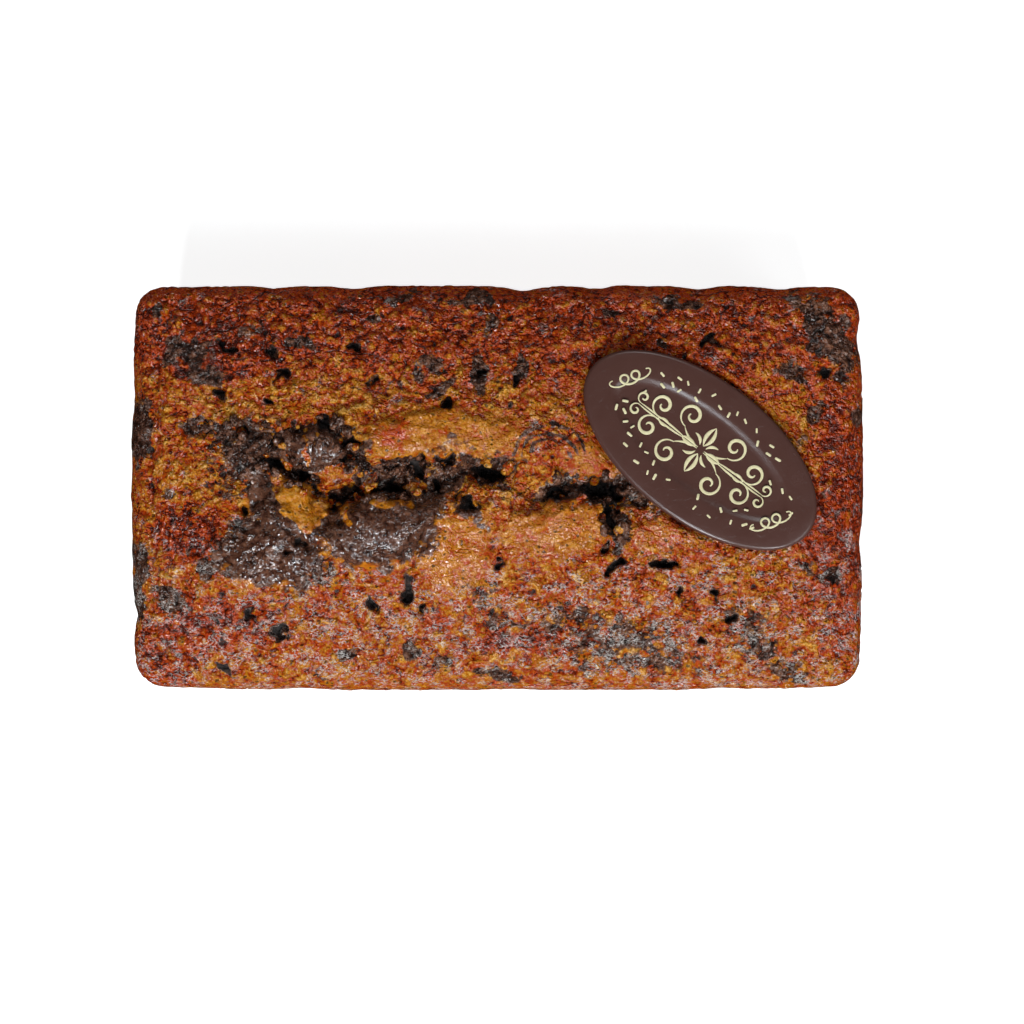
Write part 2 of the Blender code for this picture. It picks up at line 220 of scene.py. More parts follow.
# Narrow creases at the edges of the cocoa flaps: x, y, half width and depth, in millimetres
FLAP_CREASES = (
    ((-13.8, -4.1, 1.6, 1.0), (-16.7, -10.1, 1.7, 1.3), (-19.8, -13.7, 1.7, 1.3), (-22.4, -17.3, 1.5, 0.8)),
    ((-47.6, -11.6, 1.1, 0.9), (-42.1, -14.6, 1.2, 1.0), (-39.4, -12.5, 1.0, 0.7)),
    ((-42.1, -0.5, 1.2, 1.1), (-41.4, -6.5, 1.2, 1.0), (-39.8, -11.3, 1.0, 0.7)),
    ((-33.5, -0.5, 0.9, 0.8), (-32.2, -5.0, 0.9, 0.7), (-26.8, -7.6, 0.8, 0.4)),
    ((-51.6, -1.0, 1.0, 0.9), (-51.0, -5.5, 1.0, 0.8), (-46.5, -9.6, 0.9, 0.7)),
)

# Chunks of crumb that bridge the tears: x, y, radius along and across, turn in degrees, share filled
CHUNKS = (
    (-37.6, 2.0, 3.6, 2.3, 0.0, 0.9),
    (-7.0, -0.6, 2.0, 2.0, 0.0, 0.85),
    (-0.4, -3.0, 4.6, 2.4, -8.0, 0.9),
    (7.0, 3.2, 5.0, 3.6, 0.0, 0.85),
    (-20.0, 0.8, 1.8, 2.6, 0.0, 0.8),
    (-30.0, 1.4, 1.8, 2.6, 0.0, 0.8),
)

# Swelling of the smooth skin: x, y, radius along and across, turn in degrees, rise in millimetres
SWELLS = (
    (-52.7, -13.0, 13.5, 9.5, 0.0, 1.8),
    (-52.0, -9.0, 5.0, 4.5, 15.0, 1.0),
    (-47.0, -18.0, 6.0, 3.6, 8.0, 1.0),
    (-27.0, -7.5, 14.0, 9.5, 22.0, 2.2),
    (-36.0, -9.0, 4.6, 4.6, 0.0, 1.0),
    (-28.0, -12.6, 5.4, 4.6, 20.0, 1.1),
    (-19.0, -9.0, 4.6, 5.0, 40.0, 0.8),
    (-44.0, 9.5, 12.5, 5.0, 3.0, 1.6),
    (-13.5, 13.5, 20.0, 8.0, 4.0, 1.4),
    (-10.2, -12.0, 11.0, 13.0, 0.0, 0.6),
    (13.8, -8.0, 14.0, 9.0, 8.0, 1.0),
    (-46.9, -3.2, 5.6, 5.2, 0.0, 1.2),
)

# Lumps of the crumb: wavelength and height of each layer, in millimetres
LUMPS = ((17.0, 0.65), (7.5, 0.55), (4.2, 0.35))

# How the edges of tears and of holes wander: wavelength and reach of each layer, in millimetres
TEAR_WANDER = ((6.0, 1.5), (2.6, 1.0), (1.2, 0.6))
HOLE_WANDER = ((2.3, 1.0), (1.1, 0.6))

# Fine crumb of the crust, crags in the tears and ripples of the smooth skin, in the lumps' terms
CRUMB_LAYERS = ((3.8, 1.0), (2.0, 0.9), (1.1, 0.6))
TEAR_CRAGS = ((4.2, 1.6), (2.2, 1.5), (1.2, 0.8))
SKIN_LAYERS = ((2.9, 0.26), (1.3, 0.18))

# Small pits between the crumbs: distance between their places, least and greatest radius, how far
# they are pushed about, in millimetres, and the share of the places that hold one
PIT_SPACING = 2.7
PIT_RADII = (0.35, 1.05)
PIT_SHIFT = 0.8
PIT_SHARE = 0.55

# Crumbs torn loose in the tears: how many for each millimetre of tear, radii and layers in
# millimetres, and the least distance between two, as a share of their radii
TORN_CRUMBS_PER_MM = 7.0
TORN_CRUMB_RADII = (0.5, 1.8)
TORN_CRUMB_LAYERS = ((2.0, 1.3), (1.0, 0.8), (0.5, 0.3))
TORN_CRUMB_SPACING = 0.62

# Seeds of the noise and of the random draws
TORN_CRUMB_SEED = 17
LUMP_SEED = 11
WANDER_SEED = 37
HOLE_WANDER_SEED = 57
CRUMB_SEED = 61
CRAG_SEED = 71
SKIN_SEED = 81
PIT_SEED = 91
LEVEL_STRIDE = 131

# Smooth skin on the crust: x, y, radius along and across, turn in degrees, strength; millimetres
SMOOTH_ZONES = (
    (-53.0, -15.2, 13.0, 8.8, 0.0, 0.95),
    (-56.0, -2.5, 5.0, 5.6, 0.0, 0.8),
    (-46.9, -3.6, 4.9, 4.7, 0.0, 1.0),
    (-40.0, -7.0, 4.0, 5.5, 0.0, 0.8),
    (-26.0, -9.2, 14.0, 8.8, 23.0, 0.95),
    (-44.0, 8.4, 11.0, 3.8, 3.0, 0.85),
    (-13.5, 12.4, 19.5, 6.2, 4.0, 0.8),
    (-10.2, -14.0, 9.5, 11.0, 0.0, 0.8),
    (13.8, -9.8, 12.5, 7.0, 8.0, 0.8),
    (36.6, -11.5, 9.0, 4.5, -10.0, 0.6),
    (24.0, 6.0, 10.0, 4.5, -20.0, 0.55),
)

# Cocoa batter at the surface, in the same terms
COCOA_ZONES = (
    (-85.3, 15.4, 2.9, 8.0, 0.0, 1.0),
    (-86.2, -22.3, 2.3, 9.2, 0.0, 1.0),
    (-82.0, 42.2, 1.9, 2.4, 0.0, 0.8),
    (-74.3, 31.4, 5.5, 4.2, -35.0, 0.85),
    (-70.5, 27.5, 5.0, 3.4, -20.0, 0.8),
    (-59.9, 37.4, 5.0, 2.6, 40.0, 0.6),
    (-46.0, 33.6, 2.4, 1.8, 0.0, 0.9),
    (-23.4, 46.2, 3.0, 1.4, 0.0, 0.7),
    (-5.9, 45.5, 6.0, 1.6, 0.0, 0.8),
    (-1.0, 39.2, 2.0, 4.0, 0.0, 0.7),
    (-30.5, 41.3, 2.0, 1.7, 0.0, 0.8),
    (-16.2, 28.3, 2.8, 2.6, 0.0, 0.85),
    (-4.2, 26.4, 2.6, 4.4, 0.0, 0.9),
    (7.0, 28.7, 1.8, 3.4, 0.0, 0.75),
    (-23.0, 22.9, 2.6, 2.0, 0.0, 0.6),
    (-13.7, 23.4, 2.0, 2.0, 0.0, 0.7),
    (27.5, 40.2, 2.2, 2.0, 0.0, 0.75),
    (43.2, 44.6, 6.0, 1.9, 0.0, 0.8),
    (40.9, 34.8, 2.0, 1.6, 0.0, 0.7),
    (64.5, 39.8, 2.0, 1.8, 0.0, 0.6),
    (79.0, 38.0, 11.0, 4.6, -54.0, 0.85),
    (83.5, 30.5, 3.6, 4.5, 0.0, 0.7),
    (70.8, 27.8, 4.5, 2.2, -10.0, 0.75),
    (76.0, 18.7, 2.0, 3.4, 0.0, 0.7),
    (86.7, 17.4, 2.0, 2.4, 0.0, 0.8),
    (72.8, 11.9, 1.8, 2.0, 0.0, 0.5),
    (-70.3, 13.4, 4.8, 3.4, 0.0, 0.75),
    (-65.5, 4.0, 6.5, 7.0, 0.0, 0.42),
    (24.0, 0.5, 10.0, 3.2, 0.0, 0.75),
    (-2.0, 4.4, 9.0, 3.0, 0.0, 0.7),
    (-58.3, 8.8, 9.0, 6.4, -10.0, 1.0),
    (-43.3, 8.4, 12.0, 4.4, 3.0, 0.95),
    (-38.9, 14.9, 4.4, 2.2, 10.0, 1.0),
    (-56.0, -2.5, 5.4, 6.0, 0.0, 1.0),
    (-53.0, -15.6, 13.4, 9.2, 0.0, 1.0),
    (-40.0, -6.5, 4.0, 6.0, 0.0, 0.95),
    (-25.6, -9.4, 14.6, 9.0, 24.0, 1.0),
    (-6.4, -6.6, 7.0, 2.0, -42.0, 0.62),
    (-66.6, -19.9, 4.8, 2.0, 5.0, 0.9),
    (-78.0, -27.1, 4.6, 2.8, -35.0, 0.9),
    (-78.8, -1.1, 1.8, 1.5, 0.0, 0.9),
    (-73.7, -15.6, 1.8, 1.6, 0.0, 0.7),
    (-34.7, -38.3, 2.9, 1.7, 15.0, 0.9),
    (-43.1, -44.5, 4.5, 2.4, 0.0, 0.5),
    (-20.3, -37.7, 2.8, 2.0, 0.0, 0.8),
    (-12.6, -42.6, 3.2, 1.9, 0.0, 0.75),
    (-3.6, -25.2, 4.4, 4.0, 0.0, 0.5),
    (1.0, -32.0, 5.4, 4.2, 0.0, 0.48),
    (-0.7, -44.8, 5.2, 1.8, 0.0, 0.85),
    (20.2, -35.0, 12.5, 7.6, -25.0, 0.52),
    (33.5, -38.0, 15.0, 7.4, -10.0, 0.55),
    (37.0, -41.0, 6.0, 2.6, -10.0, 0.75),
    (47.3, -41.8, 4.2, 3.6, 0.0, 0.5),
    (61.5, -36.0, 10.5, 6.2, -62.0, 0.55),
    (64.0, -40.0, 4.5, 2.2, -50.0, 0.8),
    (69.7, -44.0, 6.6, 3.0, -10.0, 0.6),
    (78.7, -21.0, 2.2, 2.0, 0.0, 0.85),
    (74.6, -18.2, 3.0, 2.0, 0.0, 0.5),
    (28.5, -11.4, 2.6, 5.2, 0.0, 0.9),
    (-11.2, 9.6, 6.0, 1.8, 5.0, 0.5),
)

# Vanilla batter that shows through the cocoa, in the same terms
VANILLA_ZONES = (
    (-46.9, -3.2, 5.8, 4.9, 0.0, 1.0),
    (-45.9, -7.6, 3.2, 3.0, 0.0, 1.0),
    (-46.8, 8.5, 0.8, 3.2, 0.0, 0.8),
    (-34.2, -4.6, 1.0, 3.4, 12.0, 0.65),
    (-25.8, -3.4, 5.6, 2.6, 20.0, 0.6),
    (-37.6, 1.4, 2.4, 2.2, 0.0, 0.9),
    (-7.2, -0.6, 1.6, 1.7, 0.0, 0.9),
    (-0.4, -3.6, 3.6, 1.7, 0.0, 1.0),
    (5.2, 1.2, 2.6, 2.0, 0.0, 0.8),
)

# How far the vanilla crust is baked, laid over each other in turn: x, y, radius along and across,
# turn in degrees, and the level, from 0, pale gold, to 1, dark red-brown; millimetres
BAKE_ZONES = (
    (-68.0, 34.0, 20.0, 9.0, 0.0, 0.70),
    (-72.6, -10.1, 9.0, 6.5, 0.0, 0.76),
    (-67.0, -31.0, 15.0, 5.5, -10.0, 0.68),
    (-80.0, -40.0, 8.0, 7.0, 0.0, 0.66),
    (82.0, -5.0, 8.5, 32.0, 0.0, 0.68),
    (10.2, -36.5, 16.0, 3.6, 4.0, 0.68),
    (-42.0, 28.0, 10.0, 4.0, 0.0, 0.42),
    (-58.4, 20.4, 21.0, 4.8, 0.0, 0.30),
    (-35.4, 19.3, 4.4, 5.6, 0.0, 0.22),
    (-13.2, 12.8, 20.0, 7.4, 0.0, 0.28),
    (-25.1, 12.9, 4.6, 2.4, 25.0, 0.52),
    (-2.0, 22.4, 9.5, 3.4, 0.0, 0.34),
    (20.0, 9.0, 14.0, 7.6, -20.0, 0.36),
    (-46.4, -4.6, 6.4, 7.4, 0.0, 0.20),
    (-26.8, -4.0, 9.0, 3.6, 15.0, 0.30),
    (-84.5, 27.1, 3.4, 4.8, 0.0, 0.40),
    (-85.3, 1.5, 3.6, 4.4, 0.0, 0.40),
    (-70.3, 4.2, 5.4, 2.2, 0.0, 0.28),
    (-68.0, -3.0, 4.0, 3.2, 0.0, 0.32),
    (-58.3, -4.8, 3.0, 3.2, 0.0, 0.20),
    (-35.0, -22.0, 14.0, 7.0, 0.0, 0.40),
    (-10.0, -14.3, 11.5, 12.0, 0.0, 0.34),
    (14.4, -10.1, 12.5, 8.0, 0.0, 0.33),
    (40.2, -10.8, 10.0, 8.0, -20.0, 0.40),
    (50.0, -27.0, 16.0, 5.5, -20.0, 0.42),
)
BAKE_LOWER = 0.35
BAKE_UPPER = 0.58
ZONE_EDGE = 0.28
COCOA_EDGE = 0.5
STRAY_COCOA = 0.14
ZONE_WANDER = ((5.0, 2.0), (2.2, 1.1))
ZONE_SEED = 53

# Rings of folded batter behind the tear: centre, inner and outer radius and spacing, in millimetres
SWIRL = (12.5, 6.2, 4.6, 11.0, 2.1)
SWIRL_RISE = 0.5

# Blank of the loaf: cells over the top, rows down the side, cuts that make them finer, and the
# number of triangles that it keeps
BLANK_CELLS_ALONG = 146
BLANK_CELLS_ACROSS = 81
BLANK_SIDE_ROWS = 9
BLANK_CUTS = 2
LOAF_TRIANGLES = 196000

# Share of the side's height past which a point lies on the top, and the band that is calm at the rim
ON_TOP = 0.9999
RIM_CALM = 0.006

# The plaque: a moulded oval of chocolate that lies across the right half of the crust
PLAQUE_LENGTH = 0.065
PLAQUE_WIDTH = 0.034
PLAQUE_CENTRE = (0.0481, 0.0088)
PLAQUE_TURN = math.radians(-37.3)
PLAQUE_LIFT = -0.0003
PLAQUE_GAP = 0.0003
PLAQUE_MARGIN = 0.0012
PLAQUE_FIT_POINTS = 48
PLAQUE_SEGMENTS = 192
# Rings of the plaque from its underside to the floor of its dish: step in, and height
PLAQUE_RINGS = (
    (0.0012, 0.0),
    (0.0006, 0.0001),
    (0.0002, 0.0005),
    (0.0, 0.0011),
    (0.00002, 0.0018),
    (0.00012, 0.0022),
    (0.0003, 0.00245),
    (0.0006, 0.00262),
    (0.0010, 0.0027),
    (0.0034, 0.00272),
    (0.0056, 0.00271),
    (0.0068, 0.00267),
    (0.0074, 0.00258),
    (0.0079, 0.00242),
    (0.0085, 0.00226),
    (0.0094, 0.00217),
    (0.0128, 0.0021),
)
PRINT_HEIGHT = 0.00007

# Scrolls of the ornament: centre along and across the plaque, first angle in degrees, outer and inner
# radius, turns, and widths of the line, in millimetres; the plaque's other quarters mirror them
SCROLLS = (
    (6.4, 5.35, 268.0, 3.05, 0.55, 1.3, 0.25, 0.85),
    (13.4, 3.1, 268.0, 2.75, 0.5, 1.25, 0.25, 0.85),
    (18.2, 1.75, 268.0, 1.5, 0.35, 1.1, 0.2, 0.6),
)

# Leaves and stems of the ornament, mirrored too: from, to, bow as a share of the length, and width,
# in millimetres
LEAVES = (
    ((0.0, 1.1), (0.0, 6.4), 0.16, 1.0),
    ((1.5, 0.0), (5.6, 0.0), 0.12, 0.9),
    ((0.9, 0.9), (3.4, 2.6), 0.18, 0.8),
    ((9.6, 0.35), (12.6, 0.0), 0.15, 0.6),
    ((0.9, 0.2), (6.4, 2.3), -0.10, 0.55),
    ((4.8, 0.1), (13.4, 0.35), 0.02, 0.5),
    ((12.0, 0.15), (18.3, 0.25), 0.02, 0.4),
)
LEAF_TIP_WIDTH = 0.12

# Curled ribbons: middle along and across, turn in degrees, length, height and number of the curls,
# and widths of the line, in millimetres
RIBBONS = (
    (-23.6, 3.4, 58.0, 8.4, 1.35, 3),
    (23.6, -3.4, 58.0, 8.4, 1.35, 3),
)
RIBBON_WIDTHS = (0.3, 0.55)
RIBBON_POINTS = 91

# Confetti dashes: how many are kept of the places tried, length and width in metres, and the seed;
# in millimetres, how far out places are tried, the ovals of the dashes and of the ornament, and the
# room round the ribbons and round each dash
CONFETTI_COUNT = 46
CONFETTI_TRIES = 4000
CONFETTI_LENGTH = 0.0014
CONFETTI_WIDTH = 0.00055
CONFETTI_SEED = 5
CONFETTI_REACH = (27.0, 13.0)
CONFETTI_OVAL = (27.0, 12.8)
ORNAMENT_OVAL = (19.5, 9.6)
RIBBON_ROOM = 4.4
CONFETTI_ROOM = 1.9

# Linear colours of the crust, each with its position along a ramp
VANILLA_COLOURS = (
    (0.0, (0.60, 0.28, 0.040)),
    (0.18, (0.49, 0.165, 0.006)),
    (0.40, (0.375, 0.100, 0.003)),
    (0.60, (0.40, 0.046, 0.002)),
    (0.80, (0.33, 0.025, 0.001)),
    (1.0, (0.085, 0.007, 0.001)),
)
COCOA_COLOURS = (
    (0.1, (0.012, 0.004, 0.002)),
    (0.4, (0.054, 0.018, 0.010)),
    (0.6, (0.104, 0.041, 0.023)),
    (0.9, (0.190, 0.076, 0.042)),
)
# Painted shade in voids, pits, tears and creases: brown at its edge, near black deep inside
PAINTED_SHADE_COLOURS = ((0.30, (0.060, 0.022, 0.010)), (1.0, (0.008, 0.004, 0.003)))
WALL_COLOUR = (0.21, 0.080, 0.024)
# Near black of the pinholes: painted shade
PINHOLE_SHADE_COLOUR = (0.030, 0.008, 0.003)
# Pale grey of the painted glints, a painted highlight on the crust
PAINTED_GLINT_COLOUR = (0.57, 0.53, 0.49)

# Linear colours of the plaque and its print
PLAQUE_COLOURS = ((0.0, (0.060, 0.024, 0.018)), (1.0, (0.082, 0.035, 0.028)))
PRINT_COLOURS = ((0.25, (0.56, 0.49, 0.27)), (0.7, (0.72, 0.65, 0.40)))

# Grain sizes and heights of the bumps in the materials, in metres
COARSE_GRAIN = 0.0011
FINE_GRAIN = 0.0006
WRINKLE_GRAIN = 0.0012
PEEL_GRAIN = 0.0022
PRINT_GRAIN = 0.0005
CRUST_BUMP = 0.00031
PEEL_BUMP = 0.00002
PRINT_BUMP = 0.00001

# Camera and studio
CAMERA_PLACE = (0.0035, -0.0058, 1.05)
FRAME_WIDTH = 0.2458
SENSOR_WIDTH = 36.0
LIT_POINT = (0.0, 0.0, 0.05)
FLOOR_GLOW = 0.82
WORLD_LIGHT = 0.13

# Softboxes: name, place, width and height in metres, power in watts, and colour
SOFTBOXES = (
    ("front_softbox", (-0.26, -0.98, 1.10), (0.21, 0.17), 15.0, (0.92, 0.97, 1.0)),
    ("second_softbox", (0.40, -0.90, 1.12), (0.19, 0.15), 9.0, (0.92, 0.97, 1.0)),
    ("high_softbox", (-0.10, -0.50, 1.50), (0.26, 0.20), 3.5, (0.86, 0.94, 1.0)),
    ("right_softbox", (0.70, -0.30, 1.20), (0.30, 0.26), 2.5, (0.90, 0.96, 1.0)),
    ("back_softbox", (0.30, 0.95, 1.10), (0.44, 0.30), 2.0, (0.92, 0.97, 1.0)),
)


# Numbers and noise


def smoothstep(low, high, value):
    t = np.clip((value - low) / (high - low), 0.0, 1.0)
    return t * t * (3.0 - 2.0 * t)


def lattice_value(ix, iy, seed):
    """A repeatable number from -1 to 1 for each lattice point."""
    h = (ix * 374761393 + iy * 668265263 + seed * 974711) & 0xFFFFFFFF
    h = ((h ^ (h >> 13)) * 1274126177) & 0xFFFFFFFF
    h = (h ^ (h >> 16)) & 0xFFFFFFFF
    return h / 2147483647.5 - 1.0


def noise(x, y, wavelength, seed):
    """Smooth value noise over the plan, from -1 to 1. The wavelength has the unit of x and y."""
    gx, gy = x / wavelength, y / wavelength
    ix, iy = np.floor(gx).astype(np.int64), np.floor(gy).astype(np.int64)
    tx, ty = smoothstep(0.0, 1.0, gx - ix), smoothstep(0.0, 1.0, gy - iy)
    near = lattice_value(ix, iy, seed) * (1 - tx) + lattice_value(ix + 1, iy, seed) * tx
    far = lattice_value(ix, iy + 1, seed) * (1 - tx) + lattice_value(ix + 1, iy + 1, seed) * tx
    return near * (1 - ty) + far * ty


def noise_3d(place, wavelength, seed):
    """Smooth noise through space, from -1 to 1, on a lattice that each seed turns its own way."""
    turn = np.array(Euler((0.6 * seed, 0.9 + 0.7 * seed, 1.7 * seed)).to_matrix())
    gx, gy, gz = (place @ turn.T / wavelength).T
    level = np.floor(gz).astype(np.int64)
    rise = smoothstep(0.0, 1.0, gz - level)
    below = noise(gx, gy, 1.0, seed + LEVEL_STRIDE * level)
    above = noise(gx, gy, 1.0, seed + LEVEL_STRIDE * (level + 1))
    return below * (1 - rise) + above * rise


def billows(place, layers, seed):
    """Rounded crumbs with sharp valleys between them, in millimetres, about 0 on average."""
    height = np.zeros(len(place))
    for number, (wavelength, rise) in enumerate(layers):
        height += rise * (np.abs(noise_3d(place, wavelength, seed + number)) - 0.3)
    return height


def pits(place, spacing, radii, share, seed):
    """How deep each point lies in small holes, 0 to 1, with at most one hole to a lattice cell."""
    cell = np.floor(place / spacing).astype(np.int64)
    depth = np.zeros(len(place))
    for step in itertools.product((-1, 0, 1), repeat=3):
        ix, iy, iz = (cell + np.array(step)).T
        rolls = [lattice_value(ix, iy, seed + k + LEVEL_STRIDE * iz) for k in range(5)]
        centre = np.stack([corner + 0.5 + 0.4 * roll for corner, roll in zip((ix, iy, iz), rolls)], axis=1)
        radius = radii[0] + (radii[1] - radii[0]) * (0.5 + 0.5 * rolls[3]) ** 2
        away = np.linalg.norm(place - centre * spacing, axis=1) / radius
        hole = 1.0 - smoothstep(0.4, 1.15, away)
        depth = np.maximum(depth, np.where(0.5 + 0.5 * rolls[4] < share, hole, 0.0))
    return depth


# Form of the loaf, the same rules as its solid


def inside_distance(x, y):
    """Distance in from the straight rounded outline, in metres."""
    qx = np.abs(x) - (LENGTH / 2 - CORNER_RADIUS)
    qy = np.abs(y) - (WIDTH / 2 - CORNER_RADIUS)
    outer = np.hypot(np.maximum(qx, 0.0), np.maximum(qy, 0.0))
    return CORNER_RADIUS - outer - np.minimum(np.maximum(qx, qy), 0.0)


def dome(x, y):
    """Height of the smooth crown over the shoulder."""
    along = 1.0 - np.minimum(np.abs(2.0 * x / LENGTH), 1.0) ** DOME_POWER_ALONG
    across = 1.0 - np.minimum(np.abs(2.0 * y / WIDTH), 1.0) ** DOME_POWER_ACROSS
    return CROWN_RISE * along * across


def rim_drop(x, y):
    """How far the rounded rim falls below the shoulder."""
    near = np.clip(RIM_ROUNDING - inside_distance(x, y), 0.0, RIM_ROUNDING)
    return RIM_ROUNDING - np.sqrt(RIM_ROUNDING**2 - near**2)


def groove(x, y, stations, inside=TEAR_EDGE_INSIDE, outside=TEAR_EDGE_OUTSIDE):
    """Depth in millimetres of a groove through its stations, for x and y in millimetres."""
    deepest = np.zeros_like(x)
    for (ax, ay, aw, ad), (bx, by, bw, bd) in zip(stations, stations[1:]):
        run = (bx - ax) ** 2 + (by - ay) ** 2
        t = np.clip(((x - ax) * (bx - ax) + (y - ay) * (by - ay)) / run, 0.0, 1.0)
        away = np.hypot(x - ax - t * (bx - ax), y - ay - t * (by - ay))
        share = away / (aw + t * (bw - aw))
        depth = (ad + t * (bd - ad)) * (1.0 - smoothstep(inside, outside, share))
        deepest = np.maximum(deepest, depth)
    return deepest


def zone(x, y, cx, cy, along, across, turn, edge):
    """1 within a turned ellipse, falling to 0 across its edge, which is a share of its radius."""
    c, s = math.cos(math.radians(turn)), math.sin(math.radians(turn))
    u = ((x - cx) * c + (y - cy) * s) / along
    v = ((y - cy) * c - (x - cx) * s) / across
    return 1.0 - smoothstep(1.0 - edge, 1.0 + edge, np.hypot(u, v))


def wandered(x, y, layers, seed):
    """Shifts points a little, so that edges drawn through them wander as torn crust does."""
    wx, wy = x.copy(), y.copy()
    for layer, (wavelength, reach) in enumerate(layers):
        wx += reach * noise(x, y, wavelength, seed + layer)
        wy += reach * noise(x, y, wavelength, seed + 7 + layer)
    return wx, wy


def tear_depth(x, y):
    """Depth in millimetres of all tears, voids and holes, for wandered points."""
    cut = np.zeros_like(x)
    for stations in (MAIN_TEAR, UPPER_TEAR, SIDE_TEAR):
        filled = [(sx, sy, half * TORN_SPREAD, deep * TORN_SHARE) for sx, sy, half, deep in stations]
        cut = np.maximum(cut, groove(x, y, filled))
    for stations in SHORT_TEARS:
        cut = np.maximum(cut, groove(x, y, stations))
    cut *= 1.0 - strongest(CHUNKS, x, y, 0.35)
    x, y = wandered(x, y, HOLE_WANDER, HOLE_WANDER_SEED)
    cut = np.maximum(cut, strongest(VOIDS, x, y, 0.35))
    for cx, cy, radius, deep in HOLES:
        away = np.hypot(x - cx, y - cy) / radius
        cut = np.maximum(cut, HOLE_DEEPENING * deep * (1.0 - smoothstep(0.5, 1.3, away)))
    return cut


def openness(x, y):
    """How far into a void, a bubble hole or a short tear each wandered point lies, 0 to 1."""
    inside = np.zeros_like(x)
    for (ax, ay, aw, _), (bx, by, bw, _) in SHORT_TEARS:
        inside = np.maximum(inside, groove(x, y, ((ax, ay, aw, 1.0), (bx, by, bw, 1.0))))
    x, y = wandered(x, y, HOLE_WANDER, HOLE_WANDER_SEED)
    for cx, cy, along, across, turn, _ in VOIDS:
        inside = np.maximum(inside, zone(x, y, cx, cy, along, across, turn, 0.3))
    for cx, cy, radius, _ in HOLES:
        inside = np.maximum(inside, 1.0 - smoothstep(0.5, 1.2, np.hypot(x - cx, y - cy) / radius))
    return inside


def relief(x, y):
    """Height of slabs, folds, tears, holes and lumps over the smooth top, in millimetres."""
    wx, wy = wandered(x, y, TEAR_WANDER, WANDER_SEED)
    height = np.zeros_like(x)
    for cx, cy, along, across, turn, rise in SLABS:
        height += rise * zone(wx, wy, cx, cy, along, across, turn, SLAB_EDGE)
    for layer, (wavelength, rise) in enumerate(LUMPS):
        height += rise * noise(x, y, wavelength, LUMP_SEED + layer)
    for stations in FOLDS:
        height += groove(wx, wy, stations, 0.0, 1.5)
    for cx, cy, along, across, turn, rise in SWELLS:
        height += rise * zone(wx, wy, cx, cy, along, across, turn, 1.0)
    for stations in FLAP_CREASES:
        height -= groove(wx, wy, stations, 0.0, 1.4)
    height += SWIRL_RISE * swirl_rings(x, y, wx, wy)
    trough = tuple((sx, sy, TROUGH_HALF_WIDTH, TROUGH_DEPTH) for sx, sy, _, _ in MAIN_TEAR[1:-1])
    height -= groove(wx, wy, trough, 0.3, 1.4)
    return height - tear_depth(wx, wy) - groove(wx, y, CREASE)


def plaque_frame():
    """The plaque's matrix: it lies on the plane that best fits the dome below its oval."""
    cx, cy = PLAQUE_CENTRE
    angles = np.arange(PLAQUE_FIT_POINTS) * 2.0 * math.pi / PLAQUE_FIT_POINTS
    u, v = np.cos(angles) * PLAQUE_LENGTH / 2, np.sin(angles) * PLAQUE_WIDTH / 2
    x = cx + u * math.cos(PLAQUE_TURN) - v * math.sin(PLAQUE_TURN)
    y = cy + u * math.sin(PLAQUE_TURN) + v * math.cos(PLAQUE_TURN)
    columns = np.stack([x - cx, y - cy, np.ones_like(x)], axis=1)
    slope_x, slope_y, height = np.linalg.lstsq(columns, dome(x, y), rcond=None)[0]
    up = Vector((-slope_x, -slope_y, 1.0)).normalized()
    along = Vector((math.cos(PLAQUE_TURN), math.sin(PLAQUE_TURN), 0.0))
    along = (along - up * along.dot(up)).normalized()
    turn = Matrix((along, up.cross(along), up)).transposed().to_4x4()
    return Matrix.Translation((cx, cy, SHOULDER_HEIGHT + height + PLAQUE_LIFT)) @ turn


def press_under_plaque(place):
    """The crust gives way under the plaque and rises softly again round its edge."""
    matrix = plaque_frame()
    origin, up = matrix.translation, matrix.col[2]
    x, y, z = place.T
    bed = origin.z - ((x - origin.x) * up.x + (y - origin.y) * up.y) / up.z - PLAQUE_GAP
    back = matrix.inverted()
    u = back[0][0] * x + back[0][1] * y + back[0][2] * bed + back[0][3]
    v = back[1][0] * x + back[1][1] * y + back[1][2] * bed + back[1][3]
    beyond = (np.hypot(u / (PLAQUE_LENGTH / 2), v / (PLAQUE_WIDTH / 2)) - 1.0) * PLAQUE_WIDTH / 2
    allowed = bed + 1.3 * np.maximum(beyond, 0.0)
    place[:, 2] = np.where(beyond < 0.003, np.minimum(z, allowed), z)


def rounded_plan(x, y):
    """Moves points of the square grid so that its corners become round."""
    qx = np.clip(x, -(LENGTH / 2 - CORNER_RADIUS), LENGTH / 2 - CORNER_RADIUS)
    qy = np.clip(y, -(WIDTH / 2 - CORNER_RADIUS), WIDTH / 2 - CORNER_RADIUS)
    dx, dy = x - qx, y - qy
    length = np.hypot(dx, dy)
    scale = np.where(length > 0, np.maximum(np.abs(dx), np.abs(dy)) / np.maximum(length, 1e-12), 1.0)
    return qx + dx * scale, qy + dy * scale


def outline_pull(x, y, step, pleat_share):
    """Pulls points in for the bowed outline, the pleats and the taper of the sides."""
    u, v = 2.0 * x / LENGTH, 2.0 * y / WIDTH
    qx = np.clip(x, -(LENGTH / 2 - CORNER_RADIUS), LENGTH / 2 - CORNER_RADIUS)
    qy = np.clip(y, -(WIDTH / 2 - CORNER_RADIUS), WIDTH / 2 - CORNER_RADIUS)
    nx, ny = x - qx, y - qy
    length = np.maximum(np.hypot(nx, ny), 1e-12)
    pleat = np.zeros_like(x)
    for px, py, depth, half_width in PLEATS:
        away = np.hypot(x / MM - px, y / MM - py) / half_width
        pleat += depth * MM * np.exp(-(away**2))
    pull = pleat * pleat_share
    pull_x = END_BOW * v**2 * u + step * u
    pull_y = np.where(y > 0, BACK_BOW, FRONT_BOW) * u**4 * v + step * v
    return x - nx / length * pull - pull_x, y - ny / length * pull - pull_y


# Fields over the crust, for points in millimetres


